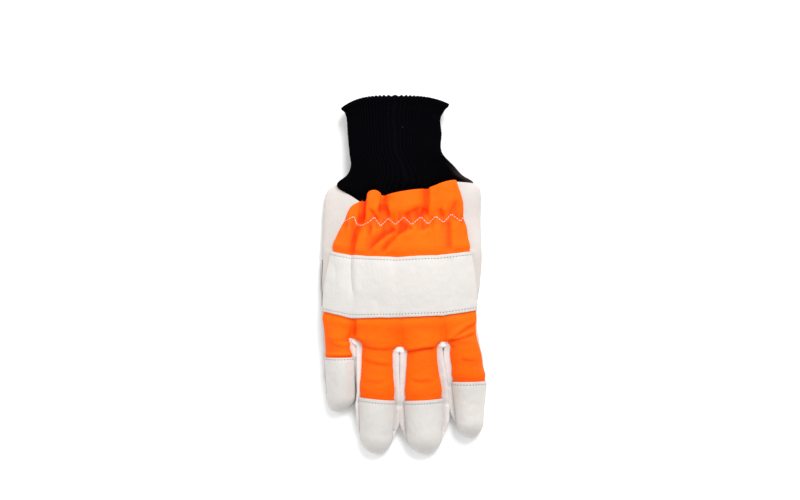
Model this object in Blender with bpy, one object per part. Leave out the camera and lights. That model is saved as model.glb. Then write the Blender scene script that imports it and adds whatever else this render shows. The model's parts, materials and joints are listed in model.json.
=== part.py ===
"""Right-hand work glove lying palm down with its thumb tucked under the palm.

+X is the thumb side, +Y runs from the fingertips to the cuff and +Z comes out of the glove's back.
The origin is on the floor, under the middle of the glove. All sizes are in metres.
"""

import math
from collections import namedtuple

import bpy
import numpy as np

# Main sizes
HAND_WIDTH = 0.1325
HAND_LENGTH = 0.1188
HAND_HEIGHT = 0.0355
CUFF_LENGTH = 0.0788
CUFF_WIDTH = 0.0740
CUFF_HEIGHT = 0.0220
LITTLE_LENGTH = 0.0558
RING_LENGTH = 0.0894
MIDDLE_LENGTH = 0.0898
INDEX_LENGTH = 0.0766
THUMB_LENGTH = 0.0620
THUMB_WIDTH = 0.0370
THUMB_HEIGHT = 0.0130

# Walls and gaps
FABRIC_WALL = 0.0020
PALM_WALL = 0.0014
BAND_WALL = 0.0012
CAP_WALL = 0.0012
SIDE_WALL = 0.0012
PATCH_WALL = 0.0012
THUMB_WALL = 0.0013
KNIT_WALL = 0.0025
CLEARANCE = 0.00035

# Small forms
EDGE_RISE = 0.0015
TIP_SEAM = 0.0022
TIP_CREST = 0.0105
SIDE_INSET = 0.0035
SIDE_BULGE = 0.0038
CROTCH_BULGE = 0.0030
BULGE_SHARE = 0.40
LITTLE_SIDE = 0.0018
INDEX_SIDE = 0.0004
THUMB_ROOM = 0.0020
CORNER_ROUND = 0.20
STRIP_STEPS = 4
RIB_COUNT = 48
RIB_DEPTH = 0.0007
RIM_FLARE = 0.0040
CUFF_OFFSET = -0.0067

# Places worked out from the sizes
HALF_WIDTH = HAND_WIDTH / 2
FINGERTIP_Y = -(MIDDLE_LENGTH + HAND_LENGTH + CUFF_LENGTH) / 2
CROTCH_Y = FINGERTIP_Y + MIDDLE_LENGTH
HEM_Y = CROTCH_Y + HAND_LENGTH
PALM_LIFT = THUMB_HEIGHT + THUMB_ROOM
PATCH_STEP = PATCH_WALL + CLEARANCE

# Places across a finger, from its little side at -1 to its thumb side at 1
ACROSS_BACK = np.array((-1.0, -0.75, -0.4, 0.0, 0.4, 0.75, 1.0))
ACROSS_PALM = np.array((-1.0, -0.55, 0.0, 0.55, 1.0))
DOWN_TIP = (0.4, 0.75, 1.0)
UP_SIDE = (0.0, 0.25, 0.5, 0.75)
INDEX_START = len(UP_SIDE) + 3 * len(ACROSS_PALM)

# Exponents of a dome's rise and of a flattened round, and the angle of a sharp edge
ROUNDNESS = 0.75
SQUARENESS = 0.80
SHARP_ANGLE = math.radians(50)

# Where the palm lifts off the floor at the fingers and comes down at the wrist, as shares of
# HAND_LENGTH above the finger roots, and where it climbs over the thumb, as shares of HALF_WIDTH
LIFT_START = (-0.52, 0.20)
LIFT_END = (0.64, 0.90)
OVER_THUMB = (-0.68, 0.57)

# The palm's straight hem, and how many lines next to it and next to the finger roots blend into it
PALM_HEM = 1.085
HEM_LINES = 3
ROOT_LINES = 3

# How far down from its seam and up from its foot a side wall turns, as shares of its height
SEAM_TURN = 0.15
FOOT_TURN = 0.25

# Colours
ORANGE = (0.95, 0.13, 0.01)
WHITE = (0.78, 0.75, 0.71)
BLACK = (0.006, 0.006, 0.009)

Row = namedtuple(
    "Row",
    "y_left y_web1 y_web2 y_web3 y_right x_left x_web1 x_web2 x_web3 x_right "
    "side_left side_right web seam_left seam_right arch pleat",
)

# Lines across the hand, from the hem down to the roots of the fingers. y is a share of HAND_LENGTH
# above the finger roots, x and the sides are shares of HALF_WIDTH, and web, the half width of the
# fold between two fingers, and all heights are shares of HAND_HEIGHT.
ROWS = (
    Row(0.963, 0.956, 0.993, 1.035, 1.094, -0.543, -0.491, -0.245, 0.290, 0.652,
        -0.792, 0.853, 0.034, 0.34, 0.55, 0.105, 0.14),
    Row(0.922, 0.884, 0.909, 0.934, 0.976, -0.634, -0.498, -0.238, 0.290, 0.717,
        -0.913, 0.924, 0.034, 0.35, 0.57, 0.158, 0.13),
    Row(0.811, 0.791, 0.829, 0.833, 0.838, -0.732, -0.491, -0.211, 0.302, 0.746,
        -0.954, 0.936, 0.034, 0.37, 0.60, 0.163, 0.10),
    Row(0.749, 0.732, 0.749, 0.753, 0.753, -0.785, -0.536, -0.174, 0.325, 0.773,
        -0.962, 0.937, 0.037, 0.37, 0.63, 0.268, 0.08),
    Row(0.682, 0.661, 0.661, 0.665, 0.673, -0.823, -0.581, -0.143, 0.347, 0.791,
        -0.971, 0.939, 0.039, 0.37, 0.67, 0.350, 0.05),
    Row(0.612, 0.586, 0.574, 0.586, 0.611, -0.851, -0.604, -0.121, 0.362, 0.806,
        -0.978, 0.942, 0.042, 0.37, 0.70, 0.395, 0.03),
    Row(0.556, 0.530, 0.519, 0.530, 0.556, -0.875, -0.601, -0.109, 0.377, 0.821,
        -0.972, 0.946, 0.042, 0.37, 0.70, 0.430, 0.02),
    Row(0.404, 0.379, 0.366, 0.379, 0.404, -0.933, -0.595, -0.075, 0.412, 0.859,
        -0.977, 0.921, 0.042, 0.38, 0.70, 0.450, 0.015),
    Row(0.246, 0.215, 0.219, 0.229, 0.257, -0.958, -0.589, -0.054, 0.444, 0.874,
        -0.975, 0.884, 0.045, 0.39, 0.69, 0.420, 0.02),
    Row(0.210, 0.170, 0.177, 0.189, 0.221, -0.962, -0.589, -0.051, 0.450, 0.874,
        -0.986, 0.882, 0.045, 0.39, 0.68, 0.410, 0.03),
    Row(0.143, 0.114, 0.097, 0.114, 0.143, -0.960, -0.598, -0.042, 0.474, 0.875,
        -0.981, 0.883, 0.048, 0.39, 0.67, 0.330, 0.08),
    Row(0.080, 0.065, 0.029, 0.056, 0.076, -0.952, -0.610, -0.039, 0.486, 0.885,
        -0.978, 0.891, 0.051, 0.38, 0.67, 0.260, 0.14),
    Row(0.025, 0.029, -0.025, 0.010, 0.013, -0.948, -0.611, -0.039, 0.489, 0.906,
        -0.975, 0.915, 0.054, 0.37, 0.67, 0.210, 0.18),
)

Finger = namedtuple("Finger", "name length tip_depth tip_lean cap left right")

# left and right are a finger's edges at the places EDGE_STOPS down its straight part. They, its tip's
# depth and how far the tip leans are shares of HALF_WIDTH, and cap is a share of the straight part.
EDGE_STOPS = (0.14, 0.5, 1.0)
FINGERS = (
    Finger("little", LITTLE_LENGTH, 0.211, -0.060, 0.33,
           (-0.942, -0.924, -0.924), (-0.632, -0.592, -0.557)),
    Finger("ring", RING_LENGTH, 0.242, 0.0, 0.61,
           (-0.500, -0.512, -0.527), (-0.116, -0.106, -0.112)),
    Finger("middle", MIDDLE_LENGTH, 0.242, 0.010, 0.61,
           (0.036, 0.026, 0.030), (0.412, 0.465, 0.486)),
    Finger("index", INDEX_LENGTH, 0.211, 0.0, 0.50,
           (0.554, 0.602, 0.635), (0.940, 0.992, 0.980)),
)
NEAR_ROOT = (0.06, 0.14)
CAP_LAP = 0.07

# Rises of the hem's top edge over each finger, as shares of HAND_LENGTH
HEM_HUMPS = (0.0, 0.050, 0.008, 0.012)
HEM_FADE = (1.0, 0.3)

# Named lines of the grid
BAND_TOP = 5
PATCH_TOP = 6
PATCH_END = 8
BAND_END = 9
CROTCH = len(ROWS) - 1
CAP_START = CROTCH + 4
CAP_OVERLAP = CROTCH + 5
TIP_START = CROTCH + 7
TIP_END = TIP_START + len(DOWN_TIP)
THUMB_HOLE_TOP = 3
THUMB_HOLE_END = 6

CuffRing = namedtuple("CuffRing", "y left right low high waist drop")

# Rings of the cuff, from its end inside the hand to its rim. y and drop are shares of CUFF_LENGTH
# above the hem, left and right are shares of half CUFF_WIDTH, low and high of CUFF_HEIGHT, and
# waist is the height of the widest place, as a share of the ring's own height.
CUFF_RINGS = (
    CuffRing(-0.130, -0.790, 1.340, 0.11, 0.60, 0.28, 0.0),
    CuffRing(-0.036, -0.850, 1.420, 0.10, 0.65, 0.28, 0.0),
    CuffRing(0.066, -1.050, 1.520, 0.100, 0.75, 0.28, 0.0),
    CuffRing(0.125, -1.160, 1.610, 0.102, 0.84, 0.28, 0.0),
    CuffRing(0.193, -1.000, 1.451, 0.00, 0.93, 0.32, 0.0),
    CuffRing(0.282, -0.938, 1.276, 0.00, 0.98, 0.40, 0.0),
    CuffRing(0.402, -0.962, 1.032, 0.00, 1.00, 0.48, 0.0),
    CuffRing(0.612, -1.003, 1.003, 0.00, 0.98, 0.50, 0.0),
    CuffRing(0.802, -1.030, 0.992, 0.00, 0.98, 0.50, 0.02),
    CuffRing(0.880, -1.060, 1.060, 0.00, 1.03, 0.50, 0.05),
    CuffRing(1.000, -1.035, 1.075, 0.00, 1.00, 0.50, 0.10),
)

ThumbRing = namedtuple("ThumbRing", "near near_z far far_z x wide")

# Sections of the thumb from its root to its tip. near, the side under the palm, and far are shares
# of THUMB_LENGTH below the thumb hole's lower edge. Both heights are shares of THUMB_HEIGHT, x is a
# share of HALF_WIDTH and wide of THUMB_WIDTH.
THUMB_RINGS = (
    ThumbRing(0.00, 1.13, -0.37, 0.28, 0.650, 0.98),
    ThumbRing(0.05, 1.05, -0.22, 0.00, 0.664, 1.00),
    ThumbRing(0.13, 1.00, 0.04, 0.00, 0.672, 1.00),
    ThumbRing(0.29, 1.00, 0.27, 0.00, 0.655, 0.94),
    ThumbRing(0.49, 1.00, 0.49, 0.00, 0.605, 0.88),
    ThumbRing(0.70, 0.98, 0.70, 0.00, 0.545, 0.83),
    ThumbRing(0.86, 0.90, 0.86, 0.02, 0.497, 0.70),
    ThumbRing(0.96, 0.74, 0.96, 0.12, 0.475, 0.40),
)


def smooth(share):
    """Runs from 0 to 1 with level ends."""
    share = np.clip(share, 0.0, 1.0)
    return share * share * (3.0 - 2.0 * share)


def ramp(value, start, end):
    return smooth((value - start) / (end - start))


def dome(across):
    """A rounded rise, 1 in the middle and 0 at the edges."""
    return np.maximum(1.0 - across**2, 0.0) ** ROUNDNESS


def squared(wave):
    """A sine or cosine pushed outwards, which flattens a round section's sides."""
    return np.sign(wave) * np.abs(wave) ** SQUARENESS


def hand_y(share):
    return CROTCH_Y + share * HAND_LENGTH


def palm_z(x, y):
    """The underside of the palm: lifted off the floor by the patch, and by the thumb under it."""
    share = (y - CROTCH_Y) / HAND_LENGTH
    lifted = ramp(share, *LIFT_START) * (1 - ramp(share, *LIFT_END))
    return lifted * (PATCH_STEP + PALM_LIFT * ramp(x / HALF_WIDTH, *OVER_THUMB))


def stations(row, x_or_y):
    """The five places of a row: both seams and the three folds between the fingers."""
    names = ("left", "web1", "web2", "web3", "right")
    return [getattr(row, f"{x_or_y}_{name}") for name in names]


def hand_line(number, across, edges=None):
    """Points x and y of one line across the hand, for columns at the places across in each finger."""
    row = ROWS[number]
    x_stops = [share * HALF_WIDTH for share in stations(row, "x")]
    y_stops = [hand_y(share) for share in stations(row, "y")]
    if edges:
        x_stops[0], x_stops[-1] = edges
    web = row.web * HAND_HEIGHT
    xs, ys = [], []
    for k in range(len(FINGERS)):
        left = x_stops[k] + (web if k else 0.0)
        right = x_stops[k + 1] - (web if k + 1 < len(FINGERS) else 0.0)
        share = (across + 1) / 2
        xs.append(left + (right - left) * share)
        ys.append(y_stops[k] + (y_stops[k + 1] - y_stops[k]) * share)
    return np.concatenate(xs), np.concatenate(ys)


def back_line(number):
    """Points of one line of the back, with its arch and a pleat over each finger."""
    row = ROWS[number]
    x, y = hand_line(number, ACROSS_BACK)
    columns = np.tile(ACROSS_BACK, len(FINGERS))
    share = (x - x[0]) / (x[-1] - x[0])
    if number < len(HEM_FADE):
        humps = np.repeat(HEM_HUMPS, len(ACROSS_BACK))
        y = y + HEM_FADE[number] * HAND_LENGTH * humps * dome(columns)
    seams = row.seam_left + (row.seam_right - row.seam_left) * share
    z = HAND_HEIGHT * (seams + row.arch * dome(2 * share - 1) + row.pleat * dome(columns))
    return np.stack([x, y, z], axis=1)


def finger_shares(finger):
    """Places of the lines down a finger's straight part."""
    lap = finger.cap + CAP_LAP
    middle = (NEAR_ROOT[1] + finger.cap) / 2
    return (*NEAR_ROOT, middle, finger.cap, lap, (lap + 1) / 2, 1.0)


def edge_x(share, start, edge):
    """x of one edge of a finger, a share of the way down its straight part."""
    return np.interp(share, (0.0, *EDGE_STOPS), (start, *(HALF_WIDTH * stop for stop in edge)))


def finger_outline(k, root, across):
    """Lines of x, y and roundness down finger k, from below its root to its tip."""
    finger = FINGERS[k]
    tip_depth = finger.tip_depth * HALF_WIDTH
    start_y = CROTCH_Y - finger.length + tip_depth
    lines = []
    for share in finger_shares(finger):
        left = edge_x(share, root[0, 0], finger.left)
        right = edge_x(share, root[-1, 0], finger.right)
        x = left + (right - left) * (across + 1) / 2
        y = root[:, 1] + (start_y - root[:, 1]) * share
        lines.append((x, y, np.abs(across), share, 1.0))
    middle, half = (left + right) / 2, (right - left) / 2
    for down in DOWN_TIP:
        x_disc = across * math.sqrt(1 - down**2 / 2)
        y_disc = down * np.sqrt(1 - across**2 / 2)
        x = middle + half * x_disc + finger.tip_lean * HALF_WIDTH * y_disc**2
        y = start_y - tip_depth * y_disc
        lines.append((x, y, np.hypot(x_disc, y_disc), 1.0, 1.0 - down))
    return lines


def edge_floor(x, y, parted=1.0):
    """Height of the lowest seam between a finger's back and its palm side, which meet at the tip."""
    return palm_z(x, y) + EDGE_RISE + PALM_WALL + parted * TIP_SEAM


def back_grid():
    """Points of the back's outer face: the hand's lines, then the fingers' lines."""
    hand = [back_line(number) for number in range(len(ROWS))]
    lines = [[] for _ in range(TIP_END - CROTCH)]
    width = len(ACROSS_BACK)
    for k in range(len(FINGERS)):
        root = hand[-1][k * width:(k + 1) * width]
        spare = root[[0, -1], 2] - edge_floor(root[[0, -1], 0], root[[0, -1], 1])
        for line, (x, y, out, share, parted) in zip(lines, finger_outline(k, root, ACROSS_BACK)):
            ends = edge_floor(x[[0, -1]], y[[0, -1]], parted) + spare * (1 - share**2)
            edge = ends[0] + (ends[1] - ends[0]) * (ACROSS_BACK + 1) / 2
            crest = (1 - share) * ROWS[-1].pleat * HAND_HEIGHT + share * TIP_CREST
            line.append(np.stack([x, y, edge + crest * dome(out)], axis=1))
    return np.array(hand + [np.concatenate(line) for line in lines])


def palm_grid(back, seam_tops):
    """Points of the palm leather's outer face: a side, four finger fronts, and the other side."""
    width = len(ACROSS_PALM)
    lines = []
    for number in range(CROTCH + 1):
        row = ROWS[number]
        edges = (row.side_left * HALF_WIDTH + SIDE_INSET, row.side_right * HALF_WIDTH - SIDE_INSET)
        x, y = hand_line(number, ACROSS_PALM, edges)
        to_hem = max(0.0, 1 - number / HEM_LINES)
        y = y + to_hem * (hand_y(PALM_HEM) - y)
        across = np.tile(ACROSS_PALM, len(FINGERS))
        rise = ramp(number, CROTCH - ROOT_LINES, CROTCH) * across**4
        rise[0] = rise[-1] = 1.0
        lines.append(np.stack([x, y, palm_z(x, y) + EDGE_RISE * rise], axis=1))
    fingers = [[] for _ in range(TIP_END - CROTCH)]
    for k in range(len(FINGERS)):
        root = lines[CROTCH][k * width:(k + 1) * width]
        for line, (x, y, out, *_) in zip(fingers, finger_outline(k, root, ACROSS_PALM)):
            line.append(np.stack([x, y, palm_z(x, y) + EDGE_RISE * out**4], axis=1))
    bottom = lines + [np.concatenate(line) for line in fingers]
    grid = []
    for number, line in enumerate(bottom):
        left = side_curve(number, seam_tops[number, 0], line[0], -1)
        right = side_curve(number, seam_tops[number, -1], line[-1], 1)
        grid.append(np.concatenate([left, line, right[::-1]]))
    return np.array(grid)


def side_curve(number, seam, foot, way):
    """Points of the leather that wraps up one side of the hand, from the seam down to its foot.

    They lie on a cubic curve whose middle is at the glove's outline.
    """
    if number <= CROTCH:
        row = ROWS[number]
        side = HALF_WIDTH * (row.side_left if way < 0 else row.side_right)
    else:
        side = seam[0] + way * (LITTLE_SIDE if way < 0 else INDEX_SIDE)
    reach = (side - (seam[0] + foot[0]) / 8) / 0.75
    height = seam[2] - foot[2]
    first = np.array((reach, foot[1], seam[2] - SEAM_TURN * height))
    second = np.array((reach, foot[1], foot[2] + FOOT_TURN * height))
    t = np.array(UP_SIDE)[:, None]
    ends = (1 - t) ** 3 * seam + t**3 * foot
    return ends + 3 * (1 - t) * t * ((1 - t) * first + t * second)


def grid_normals(points, cells):
    """Unit normals of a grid's points, from the cells that are there."""
    normals = np.zeros_like(points)
    for i, j in np.argwhere(cells):
        a, b = points[i, j], points[i, j + 1]
        c, d = points[i + 1, j + 1], points[i + 1, j]
        normal = np.cross(c - a, b - d)
        for corner in ((i, j), (i, j + 1), (i + 1, j + 1), (i + 1, j)):
            normals[corner] += normal
    length = np.linalg.norm(normals, axis=2, keepdims=True)
    return normals / np.where(length > 0, length, 1.0)


def add_object(name, points, faces, material):
    mesh = bpy.data.meshes.new(name)
    mesh.from_pydata([tuple(point) for point in points], [], faces)
    mesh.update()
    mesh.shade_smooth()
    mesh.set_sharp_from_angle(angle=SHARP_ANGLE)
    mesh.materials.append(material)
    made = bpy.data.objects.new(name, mesh)
    bpy.context.scene.collection.objects.link(made)
    return made


def add_sheet(name, points, normals, cells, over, under, material):
    """A closed wall over a grid's cells, between the offsets under and over along its normals."""
    index = {}
    made, faces = [], []

    def vertex(i, j, offset):
        key = (i, j, offset)
        if key not in index:
            index[key] = len(made)
            made.append(points[i, j] + offset * normals[i, j])
        return index[key]

    def is_cell(i, j):
        return 0 <= i < cells.shape[0] and 0 <= j < cells.shape[1] and cells[i, j]

    for i, j in np.argwhere(cells):
        corners = ((i, j), (i + 1, j), (i + 1, j + 1), (i, j + 1))
        faces.append([vertex(*corner, over) for corner in corners])
        faces.append([vertex(*corner, under) for corner in reversed(corners)])
        beside = ((i, j - 1), (i + 1, j), (i, j + 1), (i - 1, j))
        for side, neighbour in enumerate(beside):
            if is_cell(*neighbour):
                continue
            start, end = corners[side], corners[(side + 1) % 4]
            top = [vertex(*end, over), vertex(*start, over)]
            faces.append(top + [vertex(*start, under), vertex(*end, under)])
    return add_object(name, made, faces, material)


def add_tube(name, outer, inner, material, closed_end):
    """A closed wall between two stacks of rings, open at its first ring."""
    rings, around = outer.shape[:2]
    points = np.concatenate([outer.reshape(-1, 3), inner.reshape(-1, 3)])
    inside = rings * around
    faces = []
    for i in range(rings - 1):
        for j in range(around):
            a, b = i * around + j, i * around + (j + 1) % around
            faces.append([a, b, b + around, a + around])
            faces.append([inside + a, inside + a + around, inside + b + around, inside + b])
    last = (rings - 1) * around
    for j in range(around):
        k = (j + 1) % around
        faces.append([k, j, inside + j, inside + k])
        if not closed_end:
            faces.append([last + j, last + k, inside + last + k, inside + last + j])
    if closed_end:
        faces.append([last + j for j in range(around)])
        faces.append([inside + last + j for j in reversed(range(around))])
    return add_object(name, points, faces, material)


def make_material(name, colour, roughness):
    material = bpy.data.materials.new(name)
    material.use_nodes = True
    shader = material.node_tree.nodes["Principled BSDF"]
    shader.inputs["Base Color"].default_value = (*colour, 1.0)
    shader.inputs["Roughness"].default_value = roughness
    shader.inputs["Metallic"].default_value = 0.0
    return material


def comb_cells(columns, sides=0):
    """Cells of a grid that splits into four fingers below the crotch line."""
    wide = len(FINGERS) * columns - 1 + 2 * sides
    cells = np.ones((TIP_END, wide), bool)
    for k in range(1, len(FINGERS)):
        cells[CROTCH:, sides + k * columns - 1] = False
    if sides:
        cells[TIP_START:, :sides] = False
        cells[TIP_START:, -sides:] = False
    return cells


def seam_tops(back, normals):
    """Where a side wall may end under the back's edge: below the fabric, or below a leather cap."""
    tops = back - (FABRIC_WALL * normals)
    tops[:, :, :2] = back[:, :, :2]
    tops[:, :, 2] -= CLEARANCE
    tops[CAP_OVERLAP + 1:] = back[CAP_OVERLAP + 1:]
    return tops


def add_caps(back, normals, cells, leather):
    width = len(ACROSS_BACK)
    for k, finger in enumerate(FINGERS):
        own = np.zeros_like(cells)
        own[CAP_START:, k * width:(k + 1) * width - 1] = True
        name = f"fingertip_cap_{finger.name}"
        add_sheet(name, back, normals, own & cells, CLEARANCE + CAP_WALL, CLEARANCE, leather[name])


def finger_edge(finger_points, side, y):
    """x of a finger's edge at y."""
    column = 0 if side < 0 else -1
    line = finger_points[CROTCH:TIP_END + 1, column]
    order = np.argsort(line[:, 1])
    return np.interp(y, line[order, 1], line[order, 0])


def fourchette_grid(k, back, tops, palm, palm_normals):
    """The strip between fingers k and k + 1, along one finger, round the crotch and down the other."""
    width, palm_width = len(ACROSS_BACK), len(ACROSS_PALM)
    column = (k + 1) * width - 1
    palm_column = len(UP_SIDE) + (k + 1) * palm_width - 1
    numbers = list(range(TIP_START, CROTCH - 1, -1))
    places = [(n, 0) for n in numbers] + [(n, 1) for n in reversed(numbers)]
    edge = np.array([back[n, column + side] for n, side in places])
    top = np.array([tops[n, column + side, 2] for n, side in places])
    inner = palm + PALM_WALL * palm_normals
    low = np.array([inner[n, palm_column + side, 2] for n, side in places]) + CLEARANCE
    along = np.gradient(edge[:, :2], axis=0)
    along /= np.linalg.norm(along, axis=1, keepdims=True)
    outward = np.stack([along[:, 1], -along[:, 0]], axis=1)
    near = back[:, column - width + 1:column + 1]
    far = back[:, column + 1:column + 1 + width]
    gap = np.array([finger_edge(far, -1, y) - finger_edge(near, 1, y) for y in edge[:, 1]])
    alone = edge[:, 1] < max(near[TIP_END, -1, 1], far[TIP_END, 0, 1])
    room = np.minimum(BULGE_SHARE * gap, gap / 2 - CAP_WALL)
    bulge = np.where(alone, SIDE_BULGE, np.clip(room, 0.0, SIDE_BULGE))
    crotch = len(numbers)
    bulge[crotch - 1:crotch + 1] = CROTCH_BULGE
    bulge = np.minimum(bulge, BULGE_SHARE * (top - low))
    grid = np.zeros((len(places), STRIP_STEPS + 1, 3))
    for j, t in enumerate(np.linspace(0.0, 1.0, STRIP_STEPS + 1)):
        out = 4 * t * (1 - t) * bulge - CLEARANCE / 2
        grid[:, j, :2] = edge[:, :2] + out[:, None] * outward
        grid[:, j, 2] = low + (top - low) * t
    return grid


def add_fourchettes(back, tops, palm, palm_normals, leather):
    for k in range(len(FINGERS) - 1):
        grid = fourchette_grid(k, back, tops, palm, palm_normals)
        cells = np.ones((grid.shape[0] - 1, grid.shape[1] - 1), bool)
        normals = grid_normals(grid, cells)
        name = f"fourchette_{FINGERS[k].name}_{FINGERS[k + 1].name}"
        add_sheet(name, grid, normals, cells, 0.0, -SIDE_WALL, leather[name])


def thumb_hole(palm):
    """Rounds the hole that the thumb is sewn to, and gives its loop of points and its place."""
    left = INDEX_START
    right = left + len(ACROSS_PALM) - 1
    top, end = THUMB_HOLE_TOP, THUMB_HOLE_END
    loop = [(top, j) for j in range(left, right)]
    loop += [(i, right) for i in range(top, end)]
    loop += [(end, j) for j in range(right, left, -1)]
    loop += [(i, left) for i in range(end, top, -1)]
    middle = np.mean([palm[place] for place in loop], axis=0)
    for place in ((top, left), (top, right), (end, left), (end, right)):
        palm[place][:2] += CORNER_ROUND * (middle - palm[place])[:2]
    return np.array([palm[place] for place in loop]), (top, end, left, right)


def add_patch(palm, palm_normals, leather):
    """The reinforcement under the palm, from part way up the little finger's side to mid palm."""
    cells = np.zeros((palm.shape[0] - 1, palm.shape[1] - 1), bool)
    middle_front = len(UP_SIDE) + 2 * len(ACROSS_PALM) + len(ACROSS_PALM) // 2
    cells[PATCH_TOP:PATCH_END, len(UP_SIDE) // 2:middle_front] = True
    add_sheet("palm_patch", palm, palm_normals, cells, -CLEARANCE, -PATCH_STEP, leather)


def add_thumb(palm, loop, leather):
    """A leather tube from the hole in the palm, bent flat and run under the palm to a round tip."""
    around = len(loop)
    rings = [loop - np.array((0.0, 0.0, CLEARANCE))]
    end_y = palm[THUMB_HOLE_END, INDEX_START, 1]
    first = math.pi / 2 + math.pi * (len(ACROSS_PALM) - 1) / around
    turns = first - 2 * math.pi * np.arange(around) / around
    for ring in THUMB_RINGS:
        to_far = (1 + np.sin(turns)) / 2
        x = ring.x * HALF_WIDTH + ring.wide * THUMB_WIDTH / 2 * np.cos(turns)
        y = end_y - THUMB_LENGTH * (ring.near + (ring.far - ring.near) * to_far)
        z = THUMB_HEIGHT * (ring.near_z + (ring.far_z - ring.near_z) * to_far)
        rings.append(np.stack([x, y, z], axis=1))
    outer = np.array(rings)
    looped = np.concatenate([outer, outer[:, :1]], axis=1)
    cells = np.ones((len(rings) - 1, around), bool)
    normals = grid_normals(looped, cells)
    seam = normals[:, 0] + normals[:, -1]
    normals[:, 0] = seam / np.linalg.norm(seam, axis=1, keepdims=True)
    inner = outer + THUMB_WALL * normals[:, :-1]
    inner[0, :, 2] = np.minimum(inner[0, :, 2], outer[0, :, 2])
    inner[-1, :, 1] += THUMB_WALL
    add_tube("thumb", outer, inner, leather, closed_end=True)


def add_cuff(knit):
    """The rib knit: rings of alternate ridges and furrows, flattened and flared at the rim."""
    around = 2 * RIB_COUNT
    angle = -2 * math.pi * np.arange(around) / around
    ridge = RIB_DEPTH * (np.arange(around) % 2 - 0.5)
    outer, inner = [], []
    for number, ring in enumerate(CUFF_RINGS):
        left = CUFF_OFFSET + ring.left * CUFF_WIDTH / 2
        right = CUFF_OFFSET + ring.right * CUFF_WIDTH / 2
        flare = RIM_FLARE if number == len(CUFF_RINGS) - 1 else 0.0
        low = ring.low * CUFF_HEIGHT + RIB_DEPTH / 2
        high = ring.high * CUFF_HEIGHT + flare
        half = (right - left) / 2 + flare
        waist = low + ring.waist * (high - low)
        sine, cosine = np.sin(angle), np.cos(angle)
        for stack, inset, rib in ((outer, 0.0, ridge), (inner, KNIT_WALL, 0.0)):
            tall = np.where(sine > 0, high - waist, waist - low) - inset + rib
            x = (left + right) / 2 + (half - inset + rib) * squared(cosine)
            z = waist + tall * squared(sine)
            out = np.clip((x - (left + right) / 2) / half, -1, 1)
            y = HEM_Y + CUFF_LENGTH * (ring.y - ring.drop * np.abs(out) ** 3)
            stack.append(np.stack([x, y, z], axis=1))
    add_tube("knit_cuff", np.array(outer), np.array(inner), knit, closed_end=False)


def clear_scene():
    for old in list(bpy.data.objects):
        bpy.data.objects.remove(old)


def main():
    clear_scene()
    names = ["knuckle_band", "palm_leather", "palm_patch", "thumb"]
    names += [f"fingertip_cap_{finger.name}" for finger in FINGERS]
    names += [f"fourchette_{a.name}_{b.name}" for a, b in zip(FINGERS, FINGERS[1:])]
    leather = {name: make_material(name, WHITE, 0.6) for name in names}
    fabric = make_material("back_fabric", ORANGE, 0.55)
    knit = make_material("knit_cuff", BLACK, 0.9)

    back = back_grid()
    cells = comb_cells(len(ACROSS_BACK))
    normals = grid_normals(back, cells)
    fabric_cells = cells.copy()
    fabric_cells[CAP_OVERLAP:] = False
    add_sheet("back_fabric", back, normals, fabric_cells, 0.0, -FABRIC_WALL, fabric)
    band_cells = np.zeros_like(cells)
    band_cells[BAND_TOP:BAND_END] = True
    band_leather = leather["knuckle_band"]
    add_sheet("knuckle_band", back, normals, band_cells, CLEARANCE + BAND_WALL, CLEARANCE, band_leather)
    add_caps(back, normals, cells, leather)

    tops = seam_tops(back, normals)
    palm = palm_grid(back, tops)
    loop, (top, end, left, right) = thumb_hole(palm)
    palm_cells = comb_cells(len(ACROSS_PALM), len(UP_SIDE))
    palm_normals = grid_normals(palm, palm_cells)
    palm_cells[top:end, left:right] = False
    add_sheet("palm_leather", palm, palm_normals, palm_cells, PALM_WALL, 0.0, leather["palm_leather"])
    add_patch(palm, palm_normals, leather["palm_patch"])
    add_thumb(palm, loop, leather["thumb"])
    add_cuff(knit)
    add_fourchettes(back, tops, palm, palm_normals, leather)


main()
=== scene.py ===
"""Looks of a right-hand work glove that lies palm down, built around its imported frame.

+X is the thumb side, +Y runs from the fingertips to the cuff and +Z comes out of the glove's back.
All sizes are in metres.
"""

import json
import math
from collections import namedtuple

import bpy
import numpy as np
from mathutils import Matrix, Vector, noise
from mathutils.bvhtree import BVHTree

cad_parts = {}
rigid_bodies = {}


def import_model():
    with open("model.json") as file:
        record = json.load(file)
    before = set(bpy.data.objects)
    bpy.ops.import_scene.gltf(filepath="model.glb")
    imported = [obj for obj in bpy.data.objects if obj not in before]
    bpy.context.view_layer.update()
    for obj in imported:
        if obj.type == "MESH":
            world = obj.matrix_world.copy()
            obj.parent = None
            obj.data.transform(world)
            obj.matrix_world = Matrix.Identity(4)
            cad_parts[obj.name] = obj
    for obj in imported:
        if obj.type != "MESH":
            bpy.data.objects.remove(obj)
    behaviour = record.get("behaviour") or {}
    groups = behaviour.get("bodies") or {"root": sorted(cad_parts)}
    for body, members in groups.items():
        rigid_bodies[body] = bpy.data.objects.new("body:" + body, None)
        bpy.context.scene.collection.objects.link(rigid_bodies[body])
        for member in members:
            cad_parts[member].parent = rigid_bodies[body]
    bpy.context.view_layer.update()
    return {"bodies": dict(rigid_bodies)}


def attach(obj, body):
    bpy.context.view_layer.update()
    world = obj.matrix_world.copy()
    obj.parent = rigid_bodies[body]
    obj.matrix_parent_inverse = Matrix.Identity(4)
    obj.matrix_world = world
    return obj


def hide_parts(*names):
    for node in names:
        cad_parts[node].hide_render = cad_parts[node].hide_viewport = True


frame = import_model()
body = next(iter(frame["bodies"]))

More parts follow.
